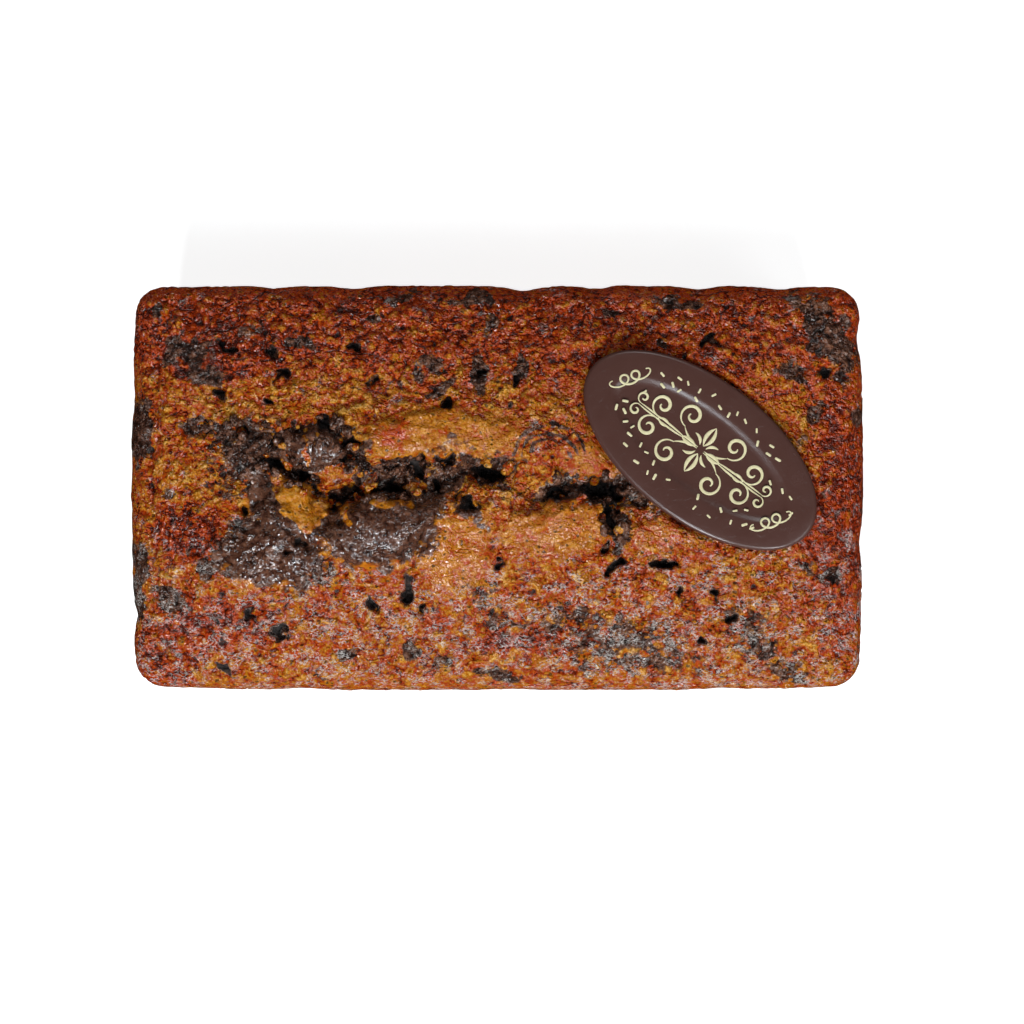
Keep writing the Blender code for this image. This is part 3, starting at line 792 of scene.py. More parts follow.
def strongest(zones, x, y, edge):
    """The highest strength of any zone at each point."""
    highest = np.zeros_like(x)
    for cx, cy, along, across, turn, strength in zones:
        highest = np.maximum(highest, strength * zone(x, y, cx, cy, along, across, turn, edge))
    return highest


def swirl_rings(x, y, wx, wy):
    """Rings of folded batter, 0 to 1, over the back half of their circle; they wander a little."""
    cx, cy, inner, outer, spacing = SWIRL
    x, y = 0.6 * x + 0.4 * wx, 0.6 * y + 0.4 * wy
    radius = np.hypot(x - cx, y - cy)
    reach = smoothstep(inner - 1.0, inner + 1.0, radius) * (1.0 - smoothstep(outer - 2.0, outer, radius))
    half = smoothstep(-0.1, 0.4, (y - cy) / np.maximum(radius, 0.1))
    return reach * half * (0.5 + 0.5 * np.sin(2.0 * math.pi * radius / spacing))


def cocoa_field(place, side, torn):
    """How much the batter at the surface is cocoa, 0 to 1."""
    x, y, _ = place.T
    wx, wy = wandered(x, y, ZONE_WANDER, ZONE_SEED)
    top = np.maximum(STRAY_COCOA, strongest(COCOA_ZONES, wx, wy, COCOA_EDGE))
    top = np.maximum(top, 0.85 * smoothstep(0.6, 1.8, torn))
    top = np.maximum(top, 0.8 * swirl_rings(x, y, wx, wy))
    top *= 1.0 - strongest(VANILLA_ZONES, wx, wy, ZONE_EDGE)
    drawn_out = place * np.array([0.55, 0.55, 1.5])
    folded = noise_3d(drawn_out, 13.0, ZONE_SEED) + 0.45 * noise_3d(drawn_out, 5.0, ZONE_SEED + 1)
    marbled = smoothstep(0.02, 0.42, folded)
    return top * (1.0 - side) + marbled * side


def bake_field(place, side):
    """How far the vanilla crust is baked, from 0, pale gold, to 1, dark red-brown."""
    x, y, z = place.T
    wx, wy = wandered(x, y, ZONE_WANDER, ZONE_SEED + 3)
    level = BAKE_LOWER + (BAKE_UPPER - BAKE_LOWER) * smoothstep(20.0, 33.0, wy)
    for cx, cy, along, across, turn, wanted in BAKE_ZONES:
        level += (wanted - level) * zone(wx, wy, cx, cy, along, across, turn, 0.4)
    wall = 0.56 + 0.14 * (1.0 - smoothstep(0.0, 14.0, z)) + 0.10 * noise_3d(place, 18.0, ZONE_SEED + 5)
    return level * (1.0 - side) + wall * side


# Modelling helpers


def start_edit(piece):
    bpy.context.view_layer.objects.active = piece
    bpy.ops.object.mode_set(mode="EDIT")


def leave_edit():
    bpy.ops.object.mode_set(mode="OBJECT")


def name_piece(name):
    piece = bpy.context.object
    piece.name = name
    piece.data.name = name
    return piece


def settle(piece):
    """Puts the piece's place into its mesh, so that its object sits at the origin."""
    bpy.ops.object.select_all(action="DESELECT")
    piece.select_set(True)
    bpy.context.view_layer.objects.active = piece
    bpy.ops.object.transform_apply(location=True, rotation=True, scale=True)


def points_of(mesh):
    flat = np.empty(len(mesh.vertices) * 3)
    mesh.vertices.foreach_get("co", flat)
    return flat.reshape(-1, 3)


def set_points(mesh, points):
    mesh.vertices.foreach_set("co", points.ravel())
    mesh.update()


def normals_of(mesh):
    flat = np.empty(len(mesh.vertices) * 3)
    mesh.vertex_normals.foreach_get("vector", flat)
    return flat.reshape(-1, 3)


def keep_fields(mesh, **fields):
    """Stores numbers for each point under their names, for the material to read."""
    for name, values in fields.items():
        layer = mesh.attributes.new(name, "FLOAT", "POINT")
        layer.data.foreach_set("value", values.astype(np.float32))


# Loaf


def add_blank():
    """The loaf's blank: a gridded top whose rim is extruded down in rows to a flat base."""
    rim = SHOULDER_HEIGHT - RIM_ROUNDING
    bpy.ops.object.select_all(action="DESELECT")
    bpy.ops.mesh.primitive_grid_add(
        x_subdivisions=BLANK_CELLS_ALONG,
        y_subdivisions=BLANK_CELLS_ACROSS,
        size=1.0,
        location=(0.0, 0.0, rim),
    )
    blank = name_piece("marbled_loaf")
    start_edit(blank)
    bpy.ops.transform.resize(value=(LENGTH, WIDTH, 1.0))
    bpy.ops.mesh.select_mode(type="EDGE")
    bpy.ops.mesh.region_to_loop()
    down = (0.0, 0.0, -rim / BLANK_SIDE_ROWS)
    for _ in range(BLANK_SIDE_ROWS):
        bpy.ops.mesh.extrude_edges_move(TRANSFORM_OT_translate={"value": down})
    bpy.ops.mesh.edge_face_add()
    bpy.ops.mesh.select_mode(type="FACE")
    bpy.ops.mesh.select_all(action="INVERT")
    bpy.ops.mesh.subdivide(number_cuts=BLANK_CUTS)
    bpy.ops.mesh.select_all(action="SELECT")
    bpy.ops.mesh.normals_make_consistent(inside=False)
    leave_edit()
    settle(blank)
    return blank


def bare_form(blank):
    """The loaf without its crumb: points, places in plan, and their share of the side's height."""
    rim = SHOULDER_HEIGHT - RIM_ROUNDING
    share = np.clip(blank[:, 2] / rim, 0.0, 1.0)
    x, y = rounded_plan(blank[:, 0], blank[:, 1])
    heights, steps = np.array(TAPER).T
    step = np.interp(share, heights, steps)
    low = np.clip(FOOT_ROUNDING - share * rim, 0.0, FOOT_ROUNDING)
    step += FOOT_ROUNDING - np.sqrt(FOOT_ROUNDING**2 - low**2)
    pleat_share = PLEAT_FADE_TO_BASE + (1.0 - PLEAT_FADE_TO_BASE) * share
    px, py = outline_pull(x, y, step, pleat_share)
    z = np.where(share > ON_TOP, SHOULDER_HEIGHT + dome(x, y) - rim_drop(x, y), rim * share)
    return np.stack([px, py, z], axis=1), x, y, share


def fine_crumb(place, torn):
    """Rounded crumbs, pits between them, crags in the tears and ripples of the smooth skin."""
    crumb = billows(place, CRUMB_LAYERS, CRUMB_SEED)
    shift = np.stack([PIT_SHIFT * noise_3d(place, 1.3, PIT_SEED + k) for k in range(3)], axis=1)
    holes = pits(place + shift, PIT_SPACING, PIT_RADII, PIT_SHARE, PIT_SEED)
    crags = smoothstep(0.5, 1.8, torn) * billows(place, TEAR_CRAGS, CRAG_SEED)
    skin = np.zeros(len(place))
    for number, (wavelength, rise) in enumerate(SKIN_LAYERS):
        skin += rise * noise_3d(place, wavelength, SKIN_SEED + number)
    return crumb, holes, crags, skin


def hollow_field(wx, wy, sunk, holes):
    """Painted shade, 0 to 1: how deep the crust lies and how dark it is painted, sunk in the tears, in
    pits, in voids and in creases.
    """
    deep = 0.6 * smoothstep(2.6, 5.5, sunk) + holes
    deep = np.maximum(deep, 0.95 * smoothstep(0.5, 1.0, openness(wx, wy)))
    creased = np.max([groove(wx, wy, stations, 0.0, 1.4) for stations in FLAP_CREASES], axis=0)
    deep = np.maximum(deep, 0.30 * smoothstep(0.4, 1.2, creased))
    return np.clip(deep, 0.0, 1.0)


def shape_loaf(mesh):
    """Gives the blank the loaf's form and crust, and keeps the fields that its material reads."""
    form, x, y, share = bare_form(points_of(mesh))
    set_points(mesh, form)
    normals = normals_of(mesh)
    place = form / MM
    plan_x, plan_y = x / MM, y / MM
    on_top = share > ON_TOP
    inside = inside_distance(x, y)
    fade = np.where(on_top, smoothstep(0.0, RIM_ROUNDING, inside), 0.0)
    side = np.where(on_top, 0.0, 1.0 - smoothstep(0.80, 1.0, share))
    rim_calm = np.where(on_top, smoothstep(0.0, RIM_CALM, inside), 0.0)

    wx, wy = wandered(plan_x, plan_y, TEAR_WANDER, WANDER_SEED)
    torn = tear_depth(wx, wy) * fade
    smooth = strongest(SMOOTH_ZONES, wx, wy, ZONE_EDGE) * fade * (1.0 - smoothstep(1.5, 4.0, torn))
    rough = (1.0 - 0.88 * smooth) * (0.2 + 0.8 * rim_calm)
    crumb, holes, crags, skin = fine_crumb(place, torn)
    foot_fade = smoothstep(0.0, 0.05, share)
    fine = (rough * (crumb - 1.1 * holes) + crags + smooth * skin) * foot_fade

    shaped = form + normals * (fine * MM)[:, None]
    shaped[:, 2] += relief(plan_x, plan_y) * fade * MM
    shaped[:, 2] = np.where(share < 1e-4, 0.0, np.maximum(shaped[:, 2], 0.0))
    press_under_plaque(shaped)
    set_points(mesh, shaped)

    # Crumb tops and pits for the fields below: the material paints light on the tops and shade in the
    # valleys and pits
    tops = 1.5 * billows(place, CRUMB_LAYERS[1:], CRUMB_SEED + 1)
    pit_shade = 0.9 * smoothstep(0.5, 1.0, holes) * rough
    keep_fields(
        mesh,
        cocoa=cocoa_field(place, side, torn),
        bake=bake_field(place, side),
        smooth=smooth,
        wall=side,
        crumb=np.clip(0.5 + 0.5 * (rough * (tops - 1.2 * holes) + 0.5 * crags), 0.0, 1.0),
        # Painted shade: darkness laid into the tears, pits, voids and flap creases
        hollow=hollow_field(wx, wy, torn - 1.2 * crags, pit_shade),
    )


def crust_height(x, y):
    """Height of the crust without its fine crumb, for one place in metres."""
    px, py = np.array([x]), np.array([y])
    fade = smoothstep(0.0, RIM_ROUNDING, inside_distance(px, py))
    height = SHOULDER_HEIGHT + dome(px, py) - rim_drop(px, py) + relief(px / MM, py / MM) * fade * MM
    return float(height[0])


def under_plaque(x, y):
    """True for a place in metres that the plaque covers, or that lies close to its edge."""
    dx, dy = x - PLAQUE_CENTRE[0], y - PLAQUE_CENTRE[1]
    u = dx * math.cos(PLAQUE_TURN) + dy * math.sin(PLAQUE_TURN)
    v = dy * math.cos(PLAQUE_TURN) - dx * math.sin(PLAQUE_TURN)
    along, across = PLAQUE_LENGTH / 2 + PLAQUE_MARGIN, PLAQUE_WIDTH / 2 + PLAQUE_MARGIN
    return math.hypot(u / along, v / across) < 1.0


def void_share(x, y):
    """How far into a void one place in millimetres lies, 0 to 1."""
    px, py = np.array([x]), np.array([y])
    return max(float(zone(px, py, *void[:5], 0.35)[0]) for void in VOIDS)


def crumb_places():
    """Where torn crumbs lie in the tears, off the voids: x, y and radius, in millimetres."""
    draw = random.Random(TORN_CRUMB_SEED)
    places = []
    for stations in (MAIN_TEAR, UPPER_TEAR, SIDE_TEAR):
        for (ax, ay, aw, _), (bx, by, bw, _) in zip(stations, stations[1:]):
            run = math.hypot(bx - ax, by - ay)
            for _ in range(round(run * TORN_CRUMBS_PER_MM)):
                t, off = draw.random(), draw.uniform(-1.0, 1.0)
                reach = (aw + t * (bw - aw)) * 1.3 + 1.2
                x = ax + t * (bx - ax) - (by - ay) / run * off * reach
                y = ay + t * (by - ay) + (bx - ax) / run * off * reach
                radius = draw.uniform(*TORN_CRUMB_RADII)
                gaps = [math.hypot(x - px, y - py) / (radius + pr) for px, py, pr in places]
                clear = min(gaps, default=1.0) > TORN_CRUMB_SPACING
                if clear and void_share(x, y) < 0.6 and not under_plaque(x * MM, y * MM):
                    places.append((x, y, radius))
    return places


def craggy_crumb(ball, draw, x, y, radius):
    """A copy of the ball, turned, stretched and made craggy, half sunk in the crumb at its place."""
    crumb = bpy.data.objects.new("crumb", ball.data.copy())
    bpy.context.scene.collection.objects.link(crumb)
    turn = Euler([draw.uniform(0.0, 6.28) for _ in range(3)]).to_matrix().to_4x4()
    stretch = (draw.uniform(0.8, 1.3), draw.uniform(0.7, 1.1), draw.uniform(0.6, 0.9), 1.0)
    height = crust_height(x * MM, y * MM) / MM + draw.uniform(-0.8, 0.1) * radius
    shape = turn @ Matrix.Diagonal(stretch) @ Matrix.Scale(radius, 4)
    crumb.data.transform(Matrix.Translation((x, y, height)) @ shape)
    place, normals = points_of(crumb.data), normals_of(crumb.data)
    crags = billows(place, TORN_CRUMB_LAYERS, CRAG_SEED + 9)
    set_points(crumb.data, (place + normals * crags[:, None]) * MM)
    on_chunk = float(strongest(CHUNKS, np.array([x]), np.array([y]), 0.3)[0]) > 0.3
    vanilla = on_chunk or draw.random() < 0.2
    plain = np.zeros(len(place))
    keep_fields(
        crumb.data,
        cocoa=plain + (0.0 if vanilla else 0.9),
        bake=plain + draw.uniform(0.15, 0.5),
        smooth=plain,
        crumb=np.clip(0.5 + 0.5 * crags, 0.0, 1.0),
        hollow=plain,
    )
    return crumb


def make_torn_crumbs(material):
    """Crumbs torn loose in the tears: one ball is modelled, and each crumb is a craggy copy of it."""
    draw = random.Random(TORN_CRUMB_SEED + 1)
    bpy.ops.object.select_all(action="DESELECT")
    bpy.ops.mesh.primitive_ico_sphere_add(subdivisions=3, radius=1.0)
    ball = name_piece("ball")
    crumbs = [craggy_crumb(ball, draw, *crumb) for crumb in crumb_places()]
    bpy.data.objects.remove(ball, do_unlink=True)
    piece = join_as("torn_crumbs", crumbs)
    dress(piece, material)
    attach(piece, "root")


def thin_out(piece, triangles):
    """Takes triangles out where the surface is plain, down to the number given."""
    now = sum(len(face.vertices) - 2 for face in piece.data.polygons)
    thinner = piece.modifiers.new("thinner", "DECIMATE")
    thinner.ratio = triangles / now
    bpy.context.view_layer.objects.active = piece
    bpy.ops.object.modifier_apply(modifier="thinner")


def make_loaf(material):
    loaf = add_blank()
    shape_loaf(loaf.data)
    thin_out(loaf, LOAF_TRIANGLES)
    dress(loaf, material)
    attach(loaf, "root")
    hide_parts("cake")


# Plaque and its print


def plaque_top(u, v):
    """Height of the plaque's upper face over its underside, at places along and across it."""
    insets, heights = np.array(PLAQUE_RINGS[3:]).T
    share = math.hypot(u / (PLAQUE_LENGTH / 2), v / (PLAQUE_WIDTH / 2))
    return float(np.interp((1.0 - share) * PLAQUE_WIDTH / 2, insets, heights))


def make_plaque(material):
    """An oval face is extruded ring by ring through the profile, up to the floor of the dish."""
    bpy.ops.object.select_all(action="DESELECT")
    bpy.ops.mesh.primitive_circle_add(vertices=PLAQUE_SEGMENTS, radius=1.0, fill_type="NGON")
    plaque = name_piece("oval_plaque")
    start_edit(plaque)
    inset, height = PLAQUE_RINGS[0]
    along, across = PLAQUE_LENGTH / 2 - inset, PLAQUE_WIDTH / 2 - inset
    bpy.ops.transform.resize(value=(along, across, 1.0))
    for inset, next_height in PLAQUE_RINGS[1:]:
        up = (0.0, 0.0, next_height - height)
        bpy.ops.mesh.extrude_region_move(TRANSFORM_OT_translate={"value": up})
        next_along, next_across = PLAQUE_LENGTH / 2 - inset, PLAQUE_WIDTH / 2 - inset
        bpy.ops.transform.resize(value=(next_along / along, next_across / across, 1.0))
        along, across, height = next_along, next_across, next_height
    bpy.ops.mesh.select_all(action="SELECT")
    bpy.ops.mesh.normals_make_consistent(inside=False)
    leave_edit()
    dress(plaque, material)
    plaque.matrix_world = plaque_frame()
    settle(plaque)
    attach(plaque, "root")
    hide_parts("plaque")


def scroll(centre, first_angle, radii, turns, points=46):
    """Points of a spiral that winds round its centre from the outer radius to the inner one."""
    outer, inner = radii
    path = []
    for k in range(points):
        t = k / (points - 1)
        radius = outer + (inner - outer) * t
        angle = first_angle + 2.0 * math.pi * turns * t
        path.append((centre[0] + radius * math.cos(angle), centre[1] + radius * math.sin(angle)))
    return path


def leaf(start, end, bow, points=17):
    """Points of a stroke from start to end, in millimetres, that bows to its side like a leaf's rib."""
    (ax, ay), (bx, by) = start, end
    path = []
    for k in range(points):
        t = k / (points - 1)
        side = bow * 4.0 * t * (1.0 - t)
        x = ax + (bx - ax) * t - (by - ay) * side
        y = ay + (by - ay) * t + (bx - ax) * side
        path.append((x * MM, y * MM))
    return path


def add_stroke(path, widths):
    """One line of print: a round curve along the path, whose width goes from thin to thick and back."""
    curve = bpy.data.curves.new("stroke", "CURVE")
    curve.dimensions = "3D"
    curve.bevel_depth = 1.0
    curve.bevel_resolution = 2
    curve.use_fill_caps = True
    spline = curve.splines.new("POLY")
    spline.points.add(len(path) - 1)
    thin, thick = widths
    for k, (point, (u, v)) in enumerate(zip(spline.points, path)):
        swell = math.sin(math.pi * k / (len(path) - 1))
        point.co = (u, v, 0.0, 1.0)
        point.radius = (thin + (thick - thin) * swell) / 2
    stroke = bpy.data.objects.new("stroke", curve)
    bpy.context.scene.collection.objects.link(stroke)
    return stroke


def lay_on_plaque(piece):
    """Flattens a print piece, lays it on the plaque's dished face and puts its place in its mesh."""
    mesh = piece.data
    thickest = max(abs(vertex.co.z) for vertex in mesh.vertices)
    for vertex in mesh.vertices:
        u, v, w = vertex.co
        vertex.co.z = plaque_top(u, v) + PRINT_HEIGHT * w / thickest
    piece.matrix_world = plaque_frame()
    settle(piece)


def dress(piece, material):
    """Gives the piece this material alone, and smooth shading."""
    piece.data.materials.clear()
    piece.data.materials.append(material)
    piece.data.shade_smooth()


def join_as(name, parts):
    bpy.ops.object.select_all(action="DESELECT")
    for part in parts:
        part.select_set(True)
    bpy.context.view_layer.objects.active = parts[0]
    bpy.ops.object.convert(target="MESH")
    bpy.ops.object.join()
    return name_piece(name)


def finish_print(name, parts, material):
    piece = join_as(name, parts)
    lay_on_plaque(piece)
    dress(piece, material)
    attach(piece, "root")


def mirrored(path, across, along):
    """The path, turned over the plaque's long middle line, its short one or both."""
    return [(u * along, v * across) for u, v in path]


def make_scrolls(material):
    """A flower in the middle, stems along the plaque, and three scrolls in each of its quarters."""
    strokes = []
    for along, across in itertools.product((1.0, -1.0), repeat=2):
        for cu, cv, first, outer, inner, turns, thin, thick in SCROLLS:
            path = scroll((cu * MM, cv * MM), math.radians(first), (outer * MM, inner * MM), turns)
            strokes.append(add_stroke(mirrored(path, across, along), (thin * MM, thick * MM)))
        for start, end, bow, thick in LEAVES:
            path = leaf(start, end, bow)
            strokes.append(add_stroke(mirrored(path, across, along), (LEAF_TIP_WIDTH * MM, thick * MM)))
    finish_print("printed_scrolls", strokes, material)


def make_ribbons(material):
    """Curled ribbons at both ends of the plaque, each a line of loops."""
    strokes = []
    for cu, cv, turn, length, curl, loops in RIBBONS:
        c, s = math.cos(math.radians(turn)), math.sin(math.radians(turn))
        path = []
        for k in range(RIBBON_POINTS):
            t = k / (RIBBON_POINTS - 1)
            angle = 2.0 * math.pi * loops * t
            along = (t - 0.5) * length - 1.2 * curl * math.sin(angle)
            across = curl * math.cos(angle) * (0.6 + 0.4 * math.sin(math.pi * t))
            path.append(((cu + along * c - across * s) * MM, (cv + along * s + across * c) * MM))
        strokes.append(add_stroke(path, [width * MM for width in RIBBON_WIDTHS]))
    finish_print("printed_ribbons", strokes, material)


def free_for_confetti(u, v, taken):
    """True where a dash stays on the plaque's face, off the ornament and clear of the dashes so far."""
    on_face = math.hypot(u / CONFETTI_OVAL[0], v / CONFETTI_OVAL[1]) < 1.0
    in_ornament = math.hypot(u / ORNAMENT_OVAL[0], v / ORNAMENT_OVAL[1]) < 1.0
    on_ribbon = any(math.hypot(u - cu, v - cv) < RIBBON_ROOM for cu, cv, *_ in RIBBONS)
    clear = all(math.hypot(u - a, v - b) > CONFETTI_ROOM for a, b in taken)
    return on_face and clear and not in_ornament and not on_ribbon


def make_confetti(material):
    """Small dashes scattered over the plaque's face: one is modelled, and the others are its copies."""
    bpy.ops.object.select_all(action="DESELECT")
    bpy.ops.mesh.primitive_cube_add(size=1.0)
    dash = name_piece("dash")
    start_edit(dash)
    bpy.ops.transform.resize(value=(CONFETTI_LENGTH, CONFETTI_WIDTH, CONFETTI_WIDTH))
    bpy.ops.mesh.bevel(offset=CONFETTI_WIDTH * 0.42, segments=3, affect="EDGES")
    leave_edit()
    draw = random.Random(CONFETTI_SEED)
    dashes, taken = [], []
    for _ in range(CONFETTI_TRIES):
        u, v = [draw.uniform(-reach, reach) for reach in CONFETTI_REACH]
        if len(taken) < CONFETTI_COUNT and free_for_confetti(u, v, taken):
            taken.append((u, v))
            copy = bpy.data.objects.new("dash", dash.data.copy())
            bpy.context.scene.collection.objects.link(copy)
            turn = Matrix.Rotation(draw.uniform(0.0, math.pi), 4, "Z")
            size = draw.uniform(0.8, 1.15)
            place = Matrix.Translation((u * MM, v * MM, 0.0))
            copy.data.transform(place @ turn @ Matrix.Scale(size, 4))
            dashes.append(copy)
    bpy.data.objects.remove(dash, do_unlink=True)
    finish_print("printed_dashes", dashes, material)


# Materials


def node(tree, kind, inputs=None, **settings):
    """Adds a shader node. Each input takes a value, or a socket that is linked to it."""
    made = tree.nodes.new("ShaderNode" + kind)
    for name, value in settings.items():
        setattr(made, name, value)
    for name, value in (inputs or {}).items():
        if isinstance(value, bpy.types.NodeSocket):
            tree.links.new(value, made.inputs[name])
        else:
            made.inputs[name].default_value = value
    return made


def reckon(tree, operation, first, second=0.0, third=0.0):
    return node(tree, "Math", {0: first, 1: second, 2: third}, operation=operation).outputs[0]


def add_up(tree, total, *weighted):
    """The total, plus each value that follows times its weight."""
    for value, weight in weighted:
        total = reckon(tree, "MULTIPLY_ADD", value, weight, total)
    return total


def vector_math(tree, operation, first, second):
    return node(tree, "VectorMath", {0: first, 1: second}, operation=operation).outputs


def field(tree, name):
    return node(tree, "Attribute", attribute_name=name).outputs["Fac"]


def stretched(tree, place, share):
    """Places whose X counts as this share of itself, so that a pattern is drawn out along the loaf."""
    return node(tree, "Mapping", {"Vector": place, "Scale": (share, 1.0, 1.0)}).outputs["Vector"]


def cloud(tree, place, size, detail=2.0):
    """Noise about 0, from -0.5 to 0.5, with blotches of the size given in metres."""
    settings = {"Vector": place, "Scale": 1.0 / size, "Detail": detail, "Roughness": 0.6}
    return reckon(tree, "SUBTRACT", node(tree, "TexNoise", settings).outputs["Fac"], 0.5)


def stepped(tree, value, low, high):
    limits = {"Value": value, "From Min": low, "From Max": high}
    return node(tree, "MapRange", limits, interpolation_type="SMOOTHSTEP").outputs["Result"]


def blend_colours(tree, share, first, second):
    made = node(tree, "Mix", {"Factor": share}, data_type="RGBA")
    for index, colour in ((6, first), (7, second)):
        if isinstance(colour, bpy.types.NodeSocket):
            tree.links.new(colour, made.inputs[index])
        else:
            made.inputs[index].default_value = (*colour, 1.0)
    return made.outputs[2]


def ramp(tree, value, stops):
    """A colour ramp through (position, linear colour) stops."""
    made = node(tree, "ValToRGB", {"Fac": value})
    colours = made.color_ramp.elements
    while len(colours) < len(stops):
        colours.new(0.5)
    for element, (position, colour) in zip(colours, stops):
        element.position = position
        element.color = (*colour, 1.0)
    return made.outputs["Color"]


def new_material(name):
    material = bpy.data.materials.new(name)
    material.use_nodes = True
    return material, material.node_tree, material.node_tree.nodes["Principled BSDF"]


def grain_group():
    """Faceted grains: height, a wide mottle, a tone for each grain, its crease, and a few pinholes."""
    group = bpy.data.node_groups.new("fine_grain", "ShaderNodeTree")
    group.interface.new_socket("Vector", in_out="INPUT", socket_type="NodeSocketVector")
    size = group.interface.new_socket("Size", in_out="INPUT", socket_type="NodeSocketFloat")
    size.default_value = 0.001
    for name in ("Height", "Mottle", "Tone", "Crease", "Pinhole"):
        group.interface.new_socket(name, in_out="OUTPUT", socket_type="NodeSocketFloat")
    enter = group.nodes.new("NodeGroupInput")
    leave = group.nodes.new("NodeGroupOutput")
    scale = reckon(group, "DIVIDE", 1.0, enter.outputs["Size"])
    drift = node(group, "TexNoise", {"Vector": enter.outputs["Vector"], "Scale": scale, "Detail": 1.0})
    push = vector_math(group, "SUBTRACT", drift.outputs["Color"], (0.5, 0.5, 0.5))["Vector"]
    push = node(group, "VectorMath", {0: push}, operation="SCALE")
    group.links.new(reckon(group, "MULTIPLY", enter.outputs["Size"], 0.8), push.inputs["Scale"])
    place = vector_math(group, "ADD", enter.outputs["Vector"], push.outputs["Vector"])["Vector"]
    cells = node(group, "TexVoronoi", {"Vector": place, "Scale": scale})
    away = cells.outputs["Distance"]
    # The crease grows towards each grain's edge; the crust darkens its colour with it as painted shade
    crease = reckon(group, "MULTIPLY", away, away)
    lumps = node(group, "TexNoise", {"Vector": place, "Scale": scale, "Detail": 1.0, "Roughness": 0.4})
    height = add_up(group, 0.0, (lumps.outputs["Fac"], 1.2), (crease, -1.2))
    within = vector_math(group, "SUBTRACT", place, cells.outputs["Position"])["Vector"]
    tilt = vector_math(group, "SUBTRACT", cells.outputs["Color"], (0.5, 0.5, 0.5))["Vector"]
    facet = vector_math(group, "DOT_PRODUCT", within, tilt)["Value"]
    facet = reckon(group, "MULTIPLY", facet, scale)
    height = add_up(group, height, (facet, 2.6))
    tone = node(group, "SeparateColor", {"Color": cells.outputs["Color"]}).outputs["Red"]
    chosen = reckon(group, "LESS_THAN", tone, 0.14)
    pinhole = reckon(group, "MULTIPLY", chosen, stepped(group, crease, 0.16, 0.05))
    height = add_up(group, height, (pinhole, -1.6))
    wide_scale = reckon(group, "MULTIPLY", scale, 0.5)
    wide = node(group, "TexNoise", {"Vector": place, "Scale": wide_scale, "Detail": 2.0, "Roughness": 0.6})
    group.links.new(height, leave.inputs["Height"])
    group.links.new(reckon(group, "SUBTRACT", wide.outputs["Fac"], 0.5), leave.inputs["Mottle"])
    group.links.new(reckon(group, "SUBTRACT", tone, 0.5), leave.inputs["Tone"])
    group.links.new(crease, leave.inputs["Crease"])
    group.links.new(pinhole, leave.inputs["Pinhole"])
    return group


def grain(tree, group, place, size):
    """The group's outputs by name: Height, Mottle, Tone, Crease and Pinhole."""
    made = tree.nodes.new("ShaderNodeGroup")
    made.node_tree = group
    tree.links.new(place, made.inputs["Vector"])
    made.inputs["Size"].default_value = size
    return made.outputs


def hollow_share(tree, coarse):
    """Painted shade in the hollows of the crust, with an edge that follows the grains."""
    hollow = add_up(tree, field(tree, "hollow"), (coarse["Mottle"], 0.7), (coarse["Tone"], 0.3))
    return stepped(tree, hollow, 0.42, 0.90)


def crack_lines(tree, place, drawn_out, smooth):
    """Thin broken cracks between the crumbs, fewer on the smooth skin."""
    veins = reckon(tree, "ABSOLUTE", cloud(tree, drawn_out, 0.0034, 2.0))
    broken = stepped(tree, cloud(tree, place, 0.006, 1.0), -0.03, 0.06)
    cracks = reckon(tree, "MULTIPLY", stepped(tree, veins, 0.045, 0.0), broken)
    return reckon(tree, "MULTIPLY", cracks, add_up(tree, 1.0, (smooth, -0.8)))


def cocoa_share(tree, place, coarse, uneven):
    """Where the batter is cocoa, with an edge that frays along the grains."""
    fray = add_up(tree, coarse["Mottle"], (coarse["Tone"], 0.35))
    fray = reckon(tree, "ADD", cloud(tree, place, 0.004, 3.0), fray)
    return stepped(tree, add_up(tree, field(tree, "cocoa"), (fray, uneven)), 0.34, 0.60)


def vanilla_colour(tree, place, coarse, fine, uneven, cracks):
    """Vanilla crust from pale gold to red-brown, browned on the sides, and darker in its creases, low crumb
    and cracks, partly by its baked tone and partly by painted shade.
    """
    speckled = add_up(
        tree,
        0.0,
        (coarse["Mottle"], 0.40),
        (coarse["Tone"], 0.22),
        # Creases between the grains are darkened: partly baked tone, partly painted shade
        (coarse["Crease"], 0.50),
        (fine["Tone"], 0.26),
        (fine["Crease"], 0.40),
    )
    # Low crumb is darkened, partly baked tone and partly painted shade; the cracks are darkened as painted
    # shade
    sunk = reckon(tree, "SUBTRACT", 0.5, field(tree, "crumb"))
    patches = cloud(tree, place, 0.0045, 2.0)
    baked = add_up(
        tree,
        field(tree, "bake"),
        (patches, 0.40),
        (speckled, uneven),
        (sunk, 0.85),
        (cracks, 0.38),
    )
    baked = reckon(tree, "SUBTRACT", baked, 0.15)
    browned = reckon(tree, "MULTIPLY", field(tree, "wall"), 0.55)
    return blend_colours(tree, browned, ramp(tree, baked, VANILLA_COLOURS), WALL_COLOUR)


def cocoa_colour(tree, coarse, fine):
    """Cocoa crust over a random mottle, with painted light on the tops of its crumbs and painted shade in
    the creases between its grains.
    """
    # Painted light on the crumb tops and painted shade in the grain creases
    shade = add_up(tree, field(tree, "crumb"), (coarse["Mottle"], 0.9), (coarse["Crease"], -0.5))
    shade = add_up(tree, reckon(tree, "ADD", shade, 0.1), (fine["Tone"], 0.25))
    return ramp(tree, shade, COCOA_COLOURS)


